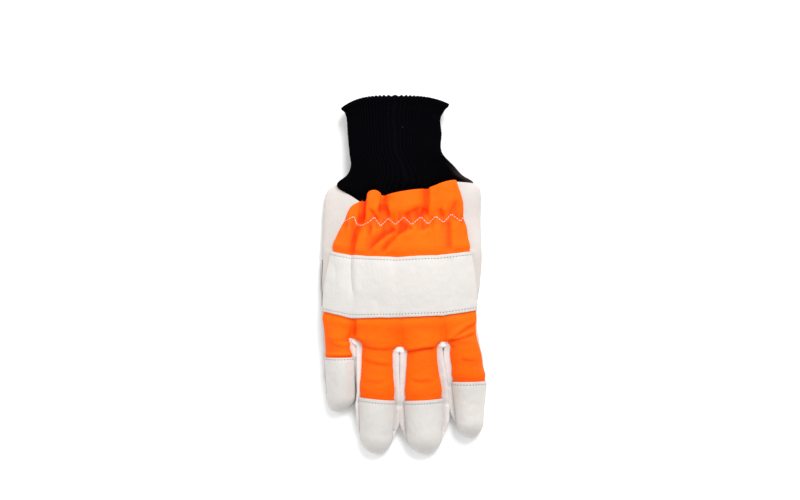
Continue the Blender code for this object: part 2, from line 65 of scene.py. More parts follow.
# Main sizes, those of the frame's solids
HAND_WIDTH = 0.1325
HAND_LENGTH = 0.1188
HAND_HEIGHT = 0.0355
CUFF_LENGTH = 0.0788
CUFF_WIDTH = 0.0740
CUFF_HEIGHT = 0.0220
LITTLE_LENGTH = 0.0558
RING_LENGTH = 0.0894
MIDDLE_LENGTH = 0.0898
INDEX_LENGTH = 0.0766
THUMB_LENGTH = 0.0620
THUMB_WIDTH = 0.0370
THUMB_HEIGHT = 0.0130

# Walls and gaps
FABRIC_WALL = 0.0020
PALM_WALL = 0.0014
BAND_WALL = 0.0012
CAP_WALL = 0.0012
SIDE_WALL = 0.0012
PATCH_WALL = 0.0012
THUMB_WALL = 0.0013
KNIT_WALL = 0.0025
CLEARANCE = 0.00035

# Small forms
EDGE_RISE = 0.0015
TIP_SEAM = 0.0022
TIP_CREST = 0.0105
SIDE_INSET = 0.0035
SIDE_BULGE = 0.0038
LITTLE_SIDE = 0.0018
INDEX_SIDE = 0.0004
THUMB_ROOM = 0.0020
RIM_FLARE = 0.0040
CUFF_OFFSET = -0.0067
ROUNDNESS = 0.75
SQUARENESS = 0.80
PALM_HEM = 1.072
HEM_LINES = 3
ROOT_LINES = 3
SEAM_TURN = 0.15
FOOT_TURN = 0.25
LIFT_START = (-0.52, 0.20)
LIFT_END = (0.64, 0.90)
OVER_THUMB = (-0.68, 0.57)

# Places worked out from the sizes
HALF_WIDTH = HAND_WIDTH / 2
FINGERTIP_Y = -(MIDDLE_LENGTH + HAND_LENGTH + CUFF_LENGTH) / 2
CROTCH_Y = FINGERTIP_Y + MIDDLE_LENGTH
HEM_Y = CROTCH_Y + HAND_LENGTH
PALM_LIFT = THUMB_HEIGHT + THUMB_ROOM
PATCH_STEP = PATCH_WALL + CLEARANCE

Row = namedtuple(
    "Row",
    "y_left y_web1 y_web2 y_web3 y_right x_left x_web1 x_web2 x_web3 x_right "
    "side_left side_right web seam_left seam_right arch pleat",
)

# Lines across the hand, from the hem down to the roots of the fingers. y is a share of HAND_LENGTH
# above the finger roots, x and the sides are shares of HALF_WIDTH, and web, the half width of the
# fold between two fingers, and all heights are shares of HAND_HEIGHT.
ROWS = (
    Row(0.963, 0.956, 0.993, 1.035, 1.094, -0.543, -0.491, -0.245, 0.290, 0.652,
        -0.792, 0.853, 0.034, 0.34, 0.55, 0.105, 0.14),
    Row(0.922, 0.884, 0.909, 0.934, 0.976, -0.634, -0.498, -0.238, 0.290, 0.717,
        -0.913, 0.924, 0.034, 0.35, 0.57, 0.158, 0.13),
    Row(0.811, 0.791, 0.829, 0.833, 0.838, -0.732, -0.491, -0.211, 0.302, 0.746,
        -0.954, 0.936, 0.034, 0.37, 0.60, 0.163, 0.10),
    Row(0.749, 0.732, 0.749, 0.753, 0.753, -0.785, -0.536, -0.174, 0.325, 0.773,
        -0.962, 0.937, 0.037, 0.37, 0.63, 0.268, 0.08),
    Row(0.682, 0.661, 0.661, 0.665, 0.673, -0.823, -0.581, -0.143, 0.347, 0.791,
        -0.971, 0.939, 0.039, 0.37, 0.67, 0.350, 0.05),
    Row(0.612, 0.586, 0.574, 0.586, 0.611, -0.851, -0.604, -0.121, 0.362, 0.806,
        -0.978, 0.942, 0.042, 0.37, 0.70, 0.395, 0.03),
    Row(0.556, 0.530, 0.519, 0.530, 0.556, -0.875, -0.601, -0.109, 0.377, 0.821,
        -0.972, 0.946, 0.042, 0.37, 0.70, 0.430, 0.02),
    Row(0.404, 0.379, 0.366, 0.379, 0.404, -0.933, -0.595, -0.075, 0.412, 0.859,
        -0.977, 0.921, 0.042, 0.38, 0.70, 0.450, 0.015),
    Row(0.246, 0.215, 0.219, 0.229, 0.257, -0.958, -0.589, -0.054, 0.444, 0.874,
        -0.975, 0.884, 0.045, 0.39, 0.69, 0.420, 0.02),
    Row(0.210, 0.170, 0.177, 0.189, 0.221, -0.962, -0.589, -0.051, 0.450, 0.874,
        -0.986, 0.882, 0.045, 0.39, 0.68, 0.410, 0.03),
    Row(0.143, 0.114, 0.097, 0.114, 0.143, -0.960, -0.598, -0.042, 0.474, 0.875,
        -0.981, 0.883, 0.048, 0.39, 0.67, 0.330, 0.08),
    Row(0.080, 0.065, 0.029, 0.056, 0.076, -0.952, -0.610, -0.039, 0.486, 0.885,
        -0.978, 0.891, 0.051, 0.38, 0.67, 0.260, 0.14),
    Row(0.025, 0.029, -0.025, 0.010, 0.013, -0.948, -0.611, -0.039, 0.489, 0.906,
        -0.975, 0.915, 0.054, 0.37, 0.67, 0.210, 0.18),
)

Finger = namedtuple("Finger", "name length tip_depth tip_lean cap left right")

# left and right are a finger's edges at the places EDGE_STOPS down its straight part. They, the
# depth of its tip and how far the tip leans are shares of HALF_WIDTH. cap, where its leather cap
# starts, is a share of the straight part.
EDGE_STOPS = (0.14, 0.5, 1.0)
FINGERS = (
    Finger("little", LITTLE_LENGTH, 0.211, -0.060, 0.33,
           (-0.942, -0.924, -0.924), (-0.632, -0.592, -0.557)),
    Finger("ring", RING_LENGTH, 0.242, 0.0, 0.61,
           (-0.500, -0.512, -0.527), (-0.116, -0.106, -0.112)),
    Finger("middle", MIDDLE_LENGTH, 0.242, 0.010, 0.61,
           (0.036, 0.026, 0.030), (0.412, 0.465, 0.486)),
    Finger("index", INDEX_LENGTH, 0.211, 0.0, 0.50,
           (0.554, 0.602, 0.635), (0.940, 0.992, 0.980)),
)
NEAR_ROOT = (0.03, 0.07, 0.14)
CROTCH_ROUND = 0.09
CAP_LAP = 0.07

# Width of cloth at which a pleat has its full height
FULL_PLEAT = 0.016

# Rises of the hem's top edge over each finger, as shares of HAND_LENGTH
HEM_HUMPS = (0.0, 0.050, 0.008, 0.012)
HEM_FADE = (1.0, 0.3)

# Named lines of the form, and two fingers by their place in FINGERS
BAND_TOP = 5
PATCH_TOP = 6
PATCH_END = 8
BAND_END = 9
CROTCH = len(ROWS) - 1
CAP_START = CROTCH + len(NEAR_ROOT) + 2
CAP_OVERLAP = CAP_START + 1
TIP_START = CAP_START + 3
THUMB_HOLE_TOP = 3
THUMB_HOLE_END = 6
MIDDLE_FINGER = 2
INDEX_FINGER = 3

CuffRing = namedtuple("CuffRing", "y left right low high waist drop")

# Rings of the cuff, from its end inside the hand to its rim. y and drop are shares of CUFF_LENGTH
# above the hem, left and right are shares of half CUFF_WIDTH, low and high of CUFF_HEIGHT, and
# waist is the height of the widest place, as a share of the ring's own height.
CUFF_RINGS = (
    CuffRing(-0.130, -0.790, 1.340, 0.11, 0.60, 0.28, 0.0),
    CuffRing(-0.036, -0.930, 1.420, 0.10, 0.65, 0.28, 0.0),
    CuffRing(0.055, -1.210, 1.560, 0.100, 0.75, 0.28, 0.0),
    CuffRing(0.106, -1.235, 1.700, 0.102, 0.84, 0.28, 0.0),
    CuffRing(0.193, -1.020, 1.451, 0.00, 0.93, 0.32, 0.0),
    CuffRing(0.282, -0.938, 1.276, 0.00, 0.98, 0.40, 0.0),
    CuffRing(0.402, -0.962, 1.032, 0.00, 1.00, 0.48, 0.0),
    CuffRing(0.612, -1.003, 1.003, 0.00, 0.98, 0.50, 0.0),
    CuffRing(0.802, -1.030, 0.992, 0.00, 0.98, 0.50, 0.02),
    CuffRing(0.880, -1.060, 1.060, 0.00, 1.03, 0.50, 0.05),
    CuffRing(0.985, -1.075, 1.095, 0.00, 1.00, 0.50, 0.10),
)

ThumbRing = namedtuple("ThumbRing", "near near_z far far_z x wide")

# Sections of the thumb from its root to its tip. near, the side under the palm, and far are shares
# of THUMB_LENGTH below the thumb hole's lower edge. Both heights are shares of THUMB_HEIGHT, x is a
# share of HALF_WIDTH and wide of THUMB_WIDTH.
THUMB_RINGS = (
    ThumbRing(0.00, 1.13, -0.37, 0.28, 0.650, 0.98),
    ThumbRing(0.05, 1.05, -0.22, 0.00, 0.664, 1.00),
    ThumbRing(0.13, 1.00, 0.04, 0.00, 0.672, 1.00),
    ThumbRing(0.29, 1.00, 0.27, 0.00, 0.655, 0.94),
    ThumbRing(0.49, 1.00, 0.49, 0.00, 0.605, 0.88),
    ThumbRing(0.70, 0.98, 0.70, 0.00, 0.545, 0.83),
    ThumbRing(0.86, 0.90, 0.86, 0.02, 0.497, 0.70),
    ThumbRing(0.96, 0.74, 0.96, 0.12, 0.475, 0.40),
    ThumbRing(0.985, 0.50, 0.985, 0.40, 0.470, 0.06),
)

# Fine steps of the meshes
STEP = 0.0008
BACK_CELLS = 38
PALM_CELLS = 26
SIDE_CELLS = 10
WEB_POINTS = 3
TIP_LINES = 18
CORNER_BLURS = 3
WALL_BLURS = 3
EVEN_SHARE = 0.7
EDGE_SHARE = 0.3
TINY = 1e-6
HEM_LIP = 0.0016
HEM_LIP_LINES = 5
HEM_PULL_LINES = 24

# The palm leather's rim round the fingertips: how wide it shows, how far it rolls out, back and up,
# in metres, and where, as shares of the way out from a tip's middle
RIM_SHOWN = 0.0014
RIM_INNER = 0.78
RIM_PUSH = 0.0007
RIM_PLACE = 0.945
RIM_SPREAD = 0.055
RIM_BACK = 0.0004
RIM_RISE = 0.0014
RIM_LINES = 12
SIDE_FADE = 18


def smooth(share):
    """Runs from 0 to 1 with level ends."""
    share = np.clip(share, 0.0, 1.0)
    return share * share * (3.0 - 2.0 * share)


def ramp(value, start, end):
    return smooth((value - start) / (end - start))


def dome(across):
    """A rounded rise, 1 in the middle and 0 at the edges."""
    return np.maximum(1.0 - across**2, 0.0) ** ROUNDNESS


def groove(away, width):
    return np.exp(-((away / width) ** 2))


def squared(wave):
    """A sine or cosine pushed outwards, which flattens a round section's sides."""
    return np.sign(wave) * np.abs(wave) ** SQUARENESS


def hand_y(share):
    return CROTCH_Y + share * HAND_LENGTH


def palm_z(x, y):
    """The underside of the palm: lifted off the floor by the patch, and by the thumb under it."""
    share = (y - CROTCH_Y) / HAND_LENGTH
    lifted = ramp(share, *LIFT_START) * (1 - ramp(share, *LIFT_END))
    return lifted * (PATCH_STEP + PALM_LIFT * ramp(x / HALF_WIDTH, *OVER_THUMB))


def lengths_along(points):
    """How far each point of a line is along it."""
    return np.concatenate([[0], np.cumsum(np.linalg.norm(np.diff(points, axis=0), axis=1))])


def spline(values, places, at):
    """A smooth curve through values at rising places, read at other places."""
    values = np.asarray(values, float)
    steps = np.diff(places)
    shape = (-1,) + (1,) * (values.ndim - 1)
    rates = np.diff(values, axis=0) / steps.reshape(shape)
    before, after = steps[:-1].reshape(shape), steps[1:].reshape(shape)
    slopes = np.empty_like(values)
    slopes[1:-1] = (after * rates[:-1] + before * rates[1:]) / (before + after)
    slopes[0], slopes[-1] = rates[0], rates[-1]
    i = np.clip(np.searchsorted(places, at, side="right") - 1, 0, len(steps) - 1)
    step = steps[i].reshape(shape)
    t = ((at - np.asarray(places)[i]) / steps[i]).reshape(shape)
    ends = (2 * t**3 - 3 * t**2 + 1) * values[i] + (3 * t**2 - 2 * t**3) * values[i + 1]
    return ends + step * ((t**3 - 2 * t**2 + t) * slopes[i] + (t**3 - t**2) * slopes[i + 1])


def stations(row, x_or_y):
    """The five places of a row: both seams and the three folds between the fingers."""
    names = ("left", "web1", "web2", "web3", "right")
    return [getattr(row, f"{x_or_y}_{name}") for name in names]


def hand_line(number, across, edges=None):
    """Points x and y of one line across the hand, for columns at the places across a finger."""
    row = ROWS[number]
    x_stops = [share * HALF_WIDTH for share in stations(row, "x")]
    y_stops = [hand_y(share) for share in stations(row, "y")]
    if edges:
        x_stops[0], x_stops[-1] = edges
    web = row.web * HAND_HEIGHT
    xs, ys = [], []
    for k in range(len(FINGERS)):
        left = x_stops[k] + (web if k else 0.0)
        right = x_stops[k + 1] - (web if k + 1 < len(FINGERS) else 0.0)
        share = (across + 1) / 2
        xs.append(left + (right - left) * share)
        ys.append(y_stops[k] + (y_stops[k + 1] - y_stops[k]) * share)
    return np.concatenate(xs), np.concatenate(ys)


def back_line(number, across):
    """Points of one line of the back, with its arch and a pleat over each finger."""
    row = ROWS[number]
    x, y = hand_line(number, across)
    columns = np.tile(across, len(FINGERS))
    share = (x - x[0]) / (x[-1] - x[0])
    if number < len(HEM_FADE):
        humps = np.repeat(HEM_HUMPS, len(across))
        y = y + HEM_FADE[number] * HAND_LENGTH * humps * dome(columns)
    seams = row.seam_left + (row.seam_right - row.seam_left) * share
    spans = np.diff([edge * HALF_WIDTH for edge in stations(row, "x")])
    pleats = row.pleat * np.repeat(np.minimum(spans / FULL_PLEAT, 1) ** 2, len(across))
    z = HAND_HEIGHT * (seams + row.arch * dome(2 * share - 1) + pleats * dome(columns))
    return np.stack([x, y, z], axis=1)


def finger_shares(finger):
    """Places of the lines down a finger's straight part."""
    lap = finger.cap + CAP_LAP
    middle = (NEAR_ROOT[-1] + finger.cap) / 2
    return (*NEAR_ROOT, middle, finger.cap, lap, (lap + 1) / 2, 1.0)


def edge_x(share, start, edge, outer):
    """x of one edge of a finger, a share of the way down its straight part, round at a crotch."""
    x = np.interp(share, (0.0, *EDGE_STOPS), (start, *(HALF_WIDTH * stop for stop in edge)))
    if outer:
        return x
    from_crotch = 1 - min(share / CROTCH_ROUND, 1)
    rounded = math.sqrt(1 - from_crotch**2) - min(share / EDGE_STOPS[0], 1)
    return x + max(rounded, 0.0) * (HALF_WIDTH * edge[0] - start)


def finger_lines(k, root, across):
    """Lines of x, y and roundness down finger k, from below its root to its tip."""
    finger = FINGERS[k]
    tip_depth = finger.tip_depth * HALF_WIDTH
    start_y = CROTCH_Y - finger.length + tip_depth
    lines = []
    for share in finger_shares(finger):
        left = edge_x(share, root[0, 0], finger.left, k == 0)
        right = edge_x(share, root[-1, 0], finger.right, k == len(FINGERS) - 1)
        x = left + (right - left) * (across + 1) / 2
        y = root[:, 1] + (start_y - root[:, 1]) * share
        lines.append((x, y, np.abs(across), share, 1.0))
    middle, half = (left + right) / 2, (right - left) / 2
    for down in LINES.down_tip:
        x_disc = across * math.sqrt(1 - down**2 / 2)
        y_disc = down * np.sqrt(1 - across**2 / 2)
        x = middle + half * x_disc + finger.tip_lean * HALF_WIDTH * y_disc**2
        y = start_y - tip_depth * y_disc
        lines.append((x, y, np.hypot(x_disc, y_disc), 1.0, 1.0 - down))
    return lines


def edge_floor(x, y, parted=1.0):
    """Height of the lowest seam between a finger's back and palm side, which meet at the tip."""
    return palm_z(x, y) + EDGE_RISE + PALM_WALL + parted * TIP_SEAM


class Lines:
    """The fine lines of the glove: where each named line of the form lies among them."""

    def __init__(self):
        middle = [np.mean([hand_y(v) for v in stations(row, "y")]) for row in ROWS]
        finger = np.mean([f.length - f.tip_depth * HALF_WIDTH for f in FINGERS])
        shares = np.mean([finger_shares(f) for f in FINGERS], axis=0)
        stops = np.array(middle + [middle[-1] - finger * share for share in shares])
        self.places = stops[0] - stops
        counts = np.maximum(1, np.round(np.diff(self.places) / STEP)).astype(int)
        self.of = np.concatenate([[0], np.cumsum(counts)])
        self.numbers = np.concatenate(
            [i + np.arange(n) / n for i, n in enumerate(counts)] + [[len(counts)]]
        )
        self.at = np.interp(self.numbers, np.arange(len(stops)), self.places)
        self.down_tip = np.sin(np.linspace(0, math.pi / 2, TIP_LINES + 1)[1:])
        self.count = len(self.at) + TIP_LINES
        self.rows = np.arange(self.count)

    def fine(self, coarse):
        return spline(coarse, self.places, self.at)


LINES = Lines()
CROTCH_LINE = LINES.of[CROTCH]
TIP_LINE = LINES.of[TIP_START]


def denser(cells):
    """Places across a finger from -1 to 1, closer together at its edges."""
    even = np.linspace(-1, 1, cells + 1)
    return EVEN_SHARE * even + EDGE_SHARE * np.sin(even * math.pi / 2)


def with_webs(points, width):
    """Adds the columns of the folds between the fingers, straight from edge to edge."""
    parts = []
    for k in range(len(FINGERS)):
        parts.append(points[:, k * width:(k + 1) * width])
        if k + 1 < len(FINGERS):
            edge, next_edge = points[:, (k + 1) * width - 1], points[:, (k + 1) * width]
            for share in np.linspace(0, 1, WEB_POINTS + 2)[1:-1]:
                parts.append((edge + (next_edge - edge) * share)[:, None])
    return np.concatenate(parts, axis=1)


def finger_columns(k, width, side=0):
    start = side + k * (width + WEB_POINTS)
    return slice(start, start + width)


def back_columns(k):
    return finger_columns(k, BACK_CELLS + 1)


def palm_columns(k):
    return finger_columns(k, PALM_CELLS + 1, SIDE_CELLS)


def glove_cells(width, side=0):
    """Cells of a grid that splits into four fingers below the crotch line."""
    columns = 2 * side + len(FINGERS) * width + (len(FINGERS) - 1) * WEB_POINTS
    cells = np.ones((LINES.count - 1, columns - 1), bool)
    for k in range(len(FINGERS) - 1):
        end = finger_columns(k, width, side).stop
        cells[CROTCH_LINE:, end - 1:end + WEB_POINTS] = False
    if side:
        cells[TIP_LINE:, :side] = False
        cells[TIP_LINE:, -side:] = False
    return cells


def unit(vectors):
    length = np.linalg.norm(vectors, axis=-1, keepdims=True)
    return vectors / np.where(length > 0, length, 1.0)


def spread(values):
    """Adds each cell's value to the four points round it."""
    sums = np.zeros((values.shape[0] + 1, values.shape[1] + 1, *values.shape[2:]))
    for i in (0, 1):
        for j in (0, 1):
            sums[i:i + values.shape[0], j:j + values.shape[1]] += values
    return sums


def cells_around(cells):
    """How many cells of a grid touch each of its points."""
    return spread(cells.astype(float))


def blurred(field, cells, times):
    """A field over a grid's points, averaged with its neighbours over the cells that are there."""
    deeper = (...,) + (None,) * (field.ndim - 2)
    around, there = cells_around(cells)[deeper], cells[deeper]
    for _ in range(times):
        middle = (field[:-1, :-1] + field[:-1, 1:] + field[1:, :-1] + field[1:, 1:]) / 4
        field = np.where(around > 0, spread(middle * there) / np.maximum(around, 1), field)
    return field


def soft_line(values, times):
    """Values along a line, averaged with their neighbours, with both ends kept."""
    for _ in range(times):
        middle = (values[:-2] + 2 * values[1:-1] + values[2:]) / 4
        values = np.concatenate([values[:1], middle, values[-1:]])
    return values


def cell_vectors(points):
    """Cross products of each cell's diagonals: its normal, as long as twice its area."""
    return np.cross(points[1:, 1:] - points[:-1, :-1], points[:-1, 1:] - points[1:, :-1])


def grid_normals(points, cells):
    """Unit normals of a grid's points, from the cells that are there."""
    normals = unit(spread(cell_vectors(points) * cells[..., None]))
    corners = cells_around(cells) == 1
    normals[corners] = unit(blurred(normals, cells, CORNER_BLURS))[corners]
    return normals


def tip_shape(cells):
    """For each point of a finger's lines, how far out it is, 0 in the middle and 1 at the edge, and
    which way out is."""
    across = denser(cells)
    down = np.concatenate([np.zeros(LINES.count - TIP_LINES), LINES.down_tip])[:, None]
    u = across * np.sqrt(1 - down**2 / 2)
    v = down * np.sqrt(1 - across**2 / 2)
    out = np.hypot(u, v)
    return out, np.stack([u, -v], axis=2) / np.maximum(out, TINY)[..., None]


def draw_in_tips(form):
    """Draws the caps' edges in from the outline, so that the palm leather shows round them."""
    out, way = tip_shape(BACK_CELLS)
    near_tip = ramp(LINES.rows, LINES.of[CAP_START], TIP_LINE)[:, None]
    pull = RIM_SHOWN * near_tip * ramp(out, RIM_INNER, 1)
    for k in range(len(FINGERS)):
        form[:, back_columns(k), :2] -= pull[..., None] * way


def raise_rims(bottom):
    """Rolls the palm leather's edge up round the fingertips, to meet the caps."""
    out, way = tip_shape(PALM_CELLS)
    at_tip = ramp(LINES.rows, TIP_LINE - RIM_LINES, TIP_LINE)[:, None]
    push = RIM_PUSH * groove(out - RIM_PLACE, RIM_SPREAD) - RIM_BACK * ramp(out, RIM_PLACE, 1)
    parted = 1 - np.concatenate([np.zeros(LINES.count - TIP_LINES), LINES.down_tip])[:, None]
    rise = (RIM_RISE + TIP_SEAM * parted) * ramp(out, RIM_PLACE - RIM_SPREAD, 1)
    for k in range(len(FINGERS)):
        columns = finger_columns(k, PALM_CELLS + 1)
        bottom[:, columns, :2] += (at_tip * push)[..., None] * way
        bottom[:, columns, 2] += at_tip * rise


def joined(coarse, fingers, width):
    """A grid at the fine lines, from the lines across the hand and those down each finger."""
    lines = [np.concatenate(parts) for parts in zip(*fingers)]
    straight = TIP_START - CROTCH
    upper = LINES.fine(np.array(coarse + lines[:straight]))
    return with_webs(np.concatenate([upper, np.array(lines[straight:])]), width)


def back_form():
    """Points of the back's outer face at the fine lines, with no folds yet."""
    across = denser(BACK_CELLS)
    width = len(across)
    coarse = [back_line(number, across) for number in range(len(ROWS))]
    fingers = []
    for k in range(len(FINGERS)):
        root = coarse[-1][k * width:(k + 1) * width]
        spare = root[[0, -1], 2] - edge_floor(root[[0, -1], 0], root[[0, -1], 1])
        lines = []
        for x, y, out, share, parted in finger_lines(k, root, across):
            ends = edge_floor(x[[0, -1]], y[[0, -1]], parted) + spare * (1 - share**2)
            edge = ends[0] + (ends[1] - ends[0]) * (across + 1) / 2
            crest = (1 - share) * ROWS[-1].pleat * HAND_HEIGHT + share * TIP_CREST
            lines.append(np.stack([x, y, edge + crest * dome(out)], axis=1))
        fingers.append(lines)
    form = joined(coarse, fingers, width)
    form[:, :, 1] -= HEM_LIP * (1 - ramp(LINES.rows, 0, HEM_PULL_LINES))[:, None]
    draw_in_tips(form)
    return form


def seam_tops(back, normals):
    """Where a side wall may end under the back's edge: below the fabric, or below a leather cap."""
    tops = back - FABRIC_WALL * normals
    tops[:, :, :2] = back[:, :, :2]
    tops[:, :, 2] -= CLEARANCE
    lapped = LINES.rows > LINES.of[CAP_OVERLAP]
    tops[lapped] = back[lapped]
    return tops


def side_curve(seam, foot, side):
    """Points of the leather that wraps up a side of the hand, from its seams down to its feet.

    They lie on cubic curves whose middles are at the glove's outline.
    """
    reach = (side - (seam[:, 0] + foot[:, 0]) / 8) / 0.75
    height = seam[:, 2] - foot[:, 2]
    first = np.stack([reach, foot[:, 1], seam[:, 2] - SEAM_TURN * height], axis=1)
    second = np.stack([reach, foot[:, 1], foot[:, 2] + FOOT_TURN * height], axis=1)
    t = np.linspace(0, 1, SIDE_CELLS + 1)[:-1, None, None]
    ends = (1 - t) ** 3 * seam + t**3 * foot
    return np.transpose(ends + 3 * (1 - t) * t * ((1 - t) * first + t * second), (1, 0, 2))


def palm_form(tops):
    """Points of the palm leather's outer face: a side, four finger fronts, and the other side."""
    across = denser(PALM_CELLS)
    width = len(across)
    coarse, sides = [], []
    for number, row in enumerate(ROWS):
        edges = (row.side_left * HALF_WIDTH + SIDE_INSET, row.side_right * HALF_WIDTH - SIDE_INSET)
        x, y = hand_line(number, across, edges)
        to_hem = max(0.0, 1 - number / HEM_LINES)
        y = y + to_hem * (hand_y(PALM_HEM) - y)
        coarse.append(np.stack([x, y, np.tile(np.abs(across), len(FINGERS))], axis=1))
        sides.append((row.side_left * HALF_WIDTH, row.side_right * HALF_WIDTH))
    fingers = []
    for k in range(len(FINGERS)):
        root = coarse[-1][k * width:(k + 1) * width]
        lines = finger_lines(k, root, across)
        fingers.append([np.stack([x, y, out], axis=1) for x, y, out, *_ in lines])
    bottom = joined(coarse, fingers, width)
    numbers = np.concatenate([LINES.numbers, np.full(TIP_LINES, TIP_START)])[:, None]
    rise = ramp(numbers, CROTCH - ROOT_LINES, CROTCH) * np.abs(bottom[:, :, 2]) ** 4
    rise[:, [0, -1]] = 1.0
    bottom[:, :, 2] = palm_z(bottom[:, :, 0], bottom[:, :, 1]) + EDGE_RISE * rise
    raise_rims(bottom)
    outline = np.array(sides + [sides[-1]] * (TIP_START - CROTCH))
    outline = np.concatenate([LINES.fine(outline), np.zeros((TIP_LINES, 2))])
    below = LINES.rows > CROTCH_LINE
    shown = RIM_SHOWN * ramp(LINES.rows, LINES.of[CAP_START], TIP_LINE)
    kept = 1 - ramp(LINES.rows, TIP_LINE - SIDE_FADE, TIP_LINE)
    outline[below, 0] = (tops[:, 0, 0] - LITTLE_SIDE * kept - shown)[below]
    outline[below, 1] = (tops[:, -1, 0] + INDEX_SIDE * kept + shown)[below]
    left = side_curve(tops[:, 0], bottom[:, 0], outline[:, 0])
    right = side_curve(tops[:, -1], bottom[:, -1], outline[:, 1])
    return np.concatenate([left, bottom, right[:, ::-1]], axis=1)


MM = 0.001
Fold = namedtuple("Fold", "depth width lip fade_in fade_out points")

# Folds of the back, seen from above. Depth, width and points are in millimetres. A lip is the share
# of the depth by which the fold's left side stands up, going along its points, and a minus is its
# right side. That side is steep. The fades are shares of the fold's length.
FABRIC_FOLDS = (
    Fold(3.0, 1.7, 0.5, 0.0, 0.3, ((-29.8, 66), (-31, 52), (-31.3, 46), (-34.4, 38.6))),
    Fold(2.1, 1.6, -0.4, 0.0, 0.4, ((-14.8, 68), (-15.4, 61), (-18.4, 50), (-17.2, 43.5))),
    Fold(2.0, 1.5, 0.4, 0.3, 0.3, ((-27.6, 54), (-23, 48.6), (-18.6, 43))),
    Fold(2.0, 1.7, 0.3, 0.2, 0.4, ((-14.8, 58), (-12.5, 50), (-9.4, 44))),
    Fold(1.8, 2.2, -0.4, 0.4, 0.3, ((18.0, 56.0), (5.0, 49.0), (-3.2, 45.3))),
    Fold(2.5, 1.5, 0.5, 0.0, 0.3, ((19.2, 76), (19.0, 60), (19.2, 50), (20.2, 42))),
    Fold(1.6, 1.8, 0.3, 0.2, 0.4, ((20, 52.5), (14, 46.6), (11, 44))),
    Fold(1.7, 2.3, -0.4, 0.3, 0.4, ((44, 61), (39, 52.5), (35.4, 44.5))),
    Fold(1.7, 1.7, 0.3, 0.3, 0.4, ((28, 54), (31, 49), (31.5, 44.5))),
    Fold(2.6, 2.0, 0.6, 0.2, 0.3, ((-34.0, 40.5), (-37.5, 32), (-39.2, 24), (-39.6, 12))),
    Fold(2.6, 2.0, 0.5, 0.1, 0.3, ((-6.9, 37.7), (-15.5, 31.6), (-25.1, 22.1), (-28.6, 16))),
    Fold(2.8, 2.3, 0.5, 0.1, 0.3, ((4.4, 41.1), (-1.7, 35.9), (-11.2, 25.5), (-19, 14.2))),
    Fold(2.0, 2.3, 0.5, 0.1, 0.6, ((7.4, 38.5), (2.0, 35), (-4.6, 31.5))),
    Fold(1.7, 2.1, 0.5, 0.1, 0.6, ((21, 40), (15, 37), (9, 34.5))),
    Fold(2.0, 2.3, 0.5, 0.1, 0.25, ((36.1, 44.0), (36.8, 32), (37.4, 17))),
    Fold(1.5, 2.1, 0.4, 0.2, 0.6, ((-24.5, 40), (-27.5, 34), (-28, 28))),
    Fold(1.6, 1.7, 0.5, 0.1, 0.2, ((-39.0, -32), (-37.4, -39), (-38.2, -45), (-39.6, -50))),
    Fold(1.0, 1.1, 0.4, 0.1, 0.5, ((-40.4, -51.4), (-44, -52.6), (-48.5, -52.4))),
    Fold(1.2, 1.2, 0.6, 0.1, 0.3, ((-34, -55.6), (-24, -58.4), (-14, -59.2), (-6.5, -58.8))),
    Fold(0.9, 1.2, 0.5, 0.2, 0.3, ((-33.6, -66.6), (-22, -70), (-6.0, -72.0))),
    Fold(1.9, 1.1, 0.6, 0.05, 0.2, ((1.4, -60.8), (9, -59.6), (18, -58.0), (28, -57.2))),
    Fold(1.5, 1.2, 0.6, 0.05, 0.2, ((34.6, -53), (41, -49), (48, -43.8), (59, -37.6))),
    Fold(1.5, 1.1, 0.6, 0.05, 0.2, ((36.2, -53), (44, -50.6), (51, -48.2), (60, -45))),
    Fold(1.0, 1.0, 0.5, 0.1, 0.5, ((35.6, -55.6), (39, -56.8), (43, -56.6))),
    Fold(0.9, 1.3, 0.4, 0.3, 0.3, ((4, -83), (15, -84.5), (27, -83.5))),
    Fold(0.8, 1.3, 0.4, 0.3, 0.3, ((-33, -84), (-22, -85), (-12, -84.4))),
    Fold(0.8, 1.5, 0.3, 0.3, 0.3, ((44, -66), (53, -68), (60, -67))),
    Fold(0.8, 1.5, 0.3, 0.3, 0.3, ((-60, -50), (-55, -56), (-46, -57.5))),
)

# Soft creases of the leather band, of the same kind
BAND_FOLDS = (
    Fold(1.3, 2.2, 0.5, 0.0, 0.35, ((-40.6, 18), (-41, 8), (-40.6, -4), (-38.4, -22))),
    Fold(0.7, 3.0, 0.3, 0.1, 0.3, ((37, 16), (38.5, 0), (36, -30))),
    Fold(0.5, 2.6, 0.3, 0.3, 0.3, ((-56, 14), (-53, 0), (-55, -18))),
    Fold(0.5, 3.0, 0.3, 0.2, 0.4, ((-18, -33), (-20, -22), (-26, -16))),
    Fold(0.4, 2.4, 0.3, 0.2, 0.4, ((8, 15), (10, 8), (6, 2))),
)


